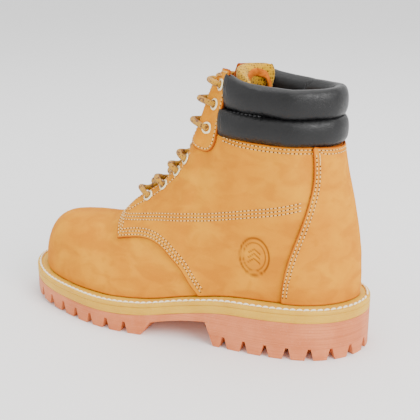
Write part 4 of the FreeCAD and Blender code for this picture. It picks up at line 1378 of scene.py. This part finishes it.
def make_tongue():
    """Padded tongue: nubuck outside, foam, and mesh that turns over the rounded top."""
    rows, across = 110, 44
    shares = np.sin(np.linspace(-1, 1, across) * 1.3) / math.sin(1.3)
    verts = []
    for i in range(rows):
        v = i / (rows - 1)
        v = v + 0.06 * math.sin(math.pi * v)
        ring = []
        for s, outside in [(s, True) for s in range(across)] + [
                (s, False) for s in range(across - 1, -1, -1)]:
            a = shares[s]
            top = TONGUE_TOP + float(smooth(TONGUE_RIM, a))
            z = TONGUE_LOW + (top - TONGUE_LOW) * v
            edge = math.sqrt(max(0.0, 1 - abs(a) ** 8))
            tip = math.sqrt(max(0.0, 1 - max(0.0, (v - 0.955) / 0.045) ** 2))
            full = TONGUE_FULL * (0.16 + 0.84 * edge) * (0.12 + 0.88 * tip)
            depth = TONGUE_DEPTH + TONGUE_FULL / 2 + (-full / 2 if outside else full / 2)
            ring.append((a, z, depth))
        ring = np.array(ring)
        verts.append(tongue_at(ring[:, 0], ring[:, 1], ring[:, 2]))
    count = 2 * across
    verts = np.vstack(verts)
    soft = 0.5 * wave(verts, 16.0, 31.0)
    verts[:, 0] += soft * (verts[:, 2] > 150)
    faces, index = [], []
    for r in range(rows - 1):
        for k in range(count):
            b = (k + 1) % count
            faces.append((r * count + k, (r + 1) * count + k, (r + 1) * count + b, r * count + b))
            index.append(1 if k >= across - 1 or r > rows - 22 else 0)
    faces.append(list(range(count)))
    faces.append([(rows - 1) * count + k for k in range(count)][::-1])
    index += [0, 1]
    piece = add_mesh("tongue_pad", verts, faces, [NUBUCK, MESH], "tongue", index)
    add_field(piece.data, "edge", np.full(len(verts), 3.0))
    add_field(piece.data, "press", np.zeros(len(verts)))
    held = np.zeros(len(verts))
    grid = np.arange(len(verts)).reshape(rows, count)
    held[grid[:, [0, across - 1, across, count - 1]]] = 1.0
    held[grid[:3]] = 1.0
    inflate(piece, held, pressure=1.2, frames=12, cap=0.9, grow=0.015)
    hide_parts("tongue", "tongue_foam", "tongue_lining")


ARCH = ((-0.24, 194.0), (-0.20, 199.5), (-0.06, 204.0), (0.15, 207.2), (0.42, 208.8),
        (0.61, 207.6), (0.74, 204.8), (0.83, 201.2), (0.88, 197.0), (0.88, 193.0), (0.86, 188.0))


def make_tongue_arch():
    """Suede band round a patch of open mesh near the top of the tongue's inner face."""
    width, thickness = 6.2, 1.5
    path = spline(ARCH)
    depth = np.full(len(path), TONGUE_DEPTH + TONGUE_FULL + 0.5)
    line = tongue_at(path[:, 0], path[:, 1], depth)
    deeper = tongue_at(path[:, 0], path[:, 1], depth + 1.0)
    line, up = resample(line, 0.8, deeper - line)
    across = unit(np.cross(up, unit(np.gradient(line, axis=0))))
    profile = ((-0.5, 0.0), (-0.48, 0.6), (-0.36, 1.0), (0.0, 1.08), (0.36, 1.0), (0.48, 0.6),
               (0.5, 0.0), (0.0, -0.3))
    rings = np.stack([line + across * (w * width) + up * (h * thickness) for w, h in profile], 1)
    add_mesh("tongue_arch_band", rings.reshape(-1, 3),
             ring_faces(len(line), len(profile), caps=True), [SUEDE], "tongue")


def make_open_mesh():
    """The patch of open mesh inside the arch, with real raised cells."""
    side, low = 61, 172.0
    middle, half, cell_y, cell_z = 0.36, 0.55, 2.6, 3.0
    share = np.tile(middle + half * np.linspace(-1, 1, side), side)
    rise = np.repeat(np.linspace(0, 1, side), side)
    high = np.interp(share, *np.array(ARCH[:8]).T)
    z = low + (high - low) * rise
    count = len(z)
    base = tongue_at(share, z, np.full(count, TONGUE_DEPTH + TONGUE_FULL))
    cells = np.sin(base[:, 1:] * 2 * math.pi / [cell_y, cell_z]).prod(axis=1)
    n = read_off(z, RIDGE_Z, RIDGE_N)
    top = base - n * (0.75 + 0.35 * cells)[:, None]
    bottom = base + n * 0.8
    grid = np.arange(count).reshape(side, side)
    faces = []
    for i in range(side - 1):
        for k in range(side - 1):
            a, b, c, d = grid[i, k], grid[i, k + 1], grid[i + 1, k + 1], grid[i + 1, k]
            faces.append((a, b, c, d))
            faces.append((d + count, c + count, b + count, a + count))
    loop = (list(grid[0, :-1]) + list(grid[:-1, -1]) + list(grid[-1, :0:-1])
            + list(grid[:0:-1, 0]))
    for a, b in zip(loop, loop[1:] + loop[:1]):
        faces.append((b, a, a + count, b + count))
    add_mesh("tongue_open_mesh", np.vstack([top, bottom]), faces, [DEEP_MESH], "tongue")


make_tongue()
make_tongue_arch()
make_open_mesh()


# ------------------------------------------------------------------ carried-over CAD nodes
CARRIED = {"insole_board": BOARD, "footbed": MESH, "sole_filler": FOAM, "steel_shank": STEEL,
           "steel_toe_cap": STEEL, "toe_cap_edge_strip": FOAM, "heel_stiffener": PLASTIC,
           "vamp_lining": MESH, "quarter_padding_lateral": FOAM, "quarter_padding_medial": FOAM,
           "quarter_lining_lateral": MESH, "quarter_lining_medial": MESH, "gusset_lateral": SUEDE,
           "gusset_medial": SUEDE}
for node, material in CARRIED.items():
    mesh = NODES[node].data
    mesh.materials.clear()
    mesh.materials.append(material)


# ------------------------------------------------------------------ floor, light, camera
WORLD_LIGHT = 1.38
# Name, place and size in metres, and power in watts.
LIGHTS = (("key", (1.7, -0.7, 1.3), 1.1, 42.0), ("fill", (-1.2, -1.5, 1.1), 1.6, 7.0),
          ("top", (0.0, 0.2, 2.0), 1.6, 20.0))


def make_stage():
    bpy.ops.mesh.primitive_plane_add(size=12.0, location=(0, 0, -0.0002))
    floor = bpy.context.object
    floor.name = "floor"
    m = Nodes("pale_floor")
    floor.data.materials.append(m.finish(m.mix(m.noise(400.0), (0.93, 0.93, 0.93, 1),
                                               (0.95, 0.95, 0.95, 1)), 0.9,
                                         Specular_IOR_Level=0.1))
    world = bpy.data.worlds.new("studio")
    world.use_nodes = True
    world.node_tree.nodes["Background"].inputs[0].default_value = (1, 1, 1, 1)
    world.node_tree.nodes["Background"].inputs[1].default_value = WORLD_LIGHT
    bpy.context.scene.world = world
    for name, place, size, power in LIGHTS:
        light = bpy.data.lights.new(name, "AREA")
        light.size = size
        light.energy = power
        lamp = place_object(name, light)
        lamp.location = place
        lamp.rotation_euler = (Vector((0, 0, 0.08)) - lamp.location).to_track_quat(
            "-Z", "Y").to_euler()


def make_camera():
    azimuth, elevation, distance = math.radians(23.5), math.radians(17.8), 0.650
    target = Vector((0.0175, 0.004, 0.0936))
    back = Vector((math.sin(azimuth) * math.cos(elevation),
                   -math.cos(azimuth) * math.cos(elevation), math.sin(elevation)))
    camera = bpy.data.cameras.new("camera")
    camera.lens = 67.0
    camera.sensor_width = 36.0
    camera.clip_start = 0.01
    obj = place_object("camera", camera)
    obj.location = target + back * distance
    obj.rotation_euler = (-back).to_track_quat("-Z", "Y").to_euler()
    bpy.context.scene.camera = obj


make_stage()
make_camera()
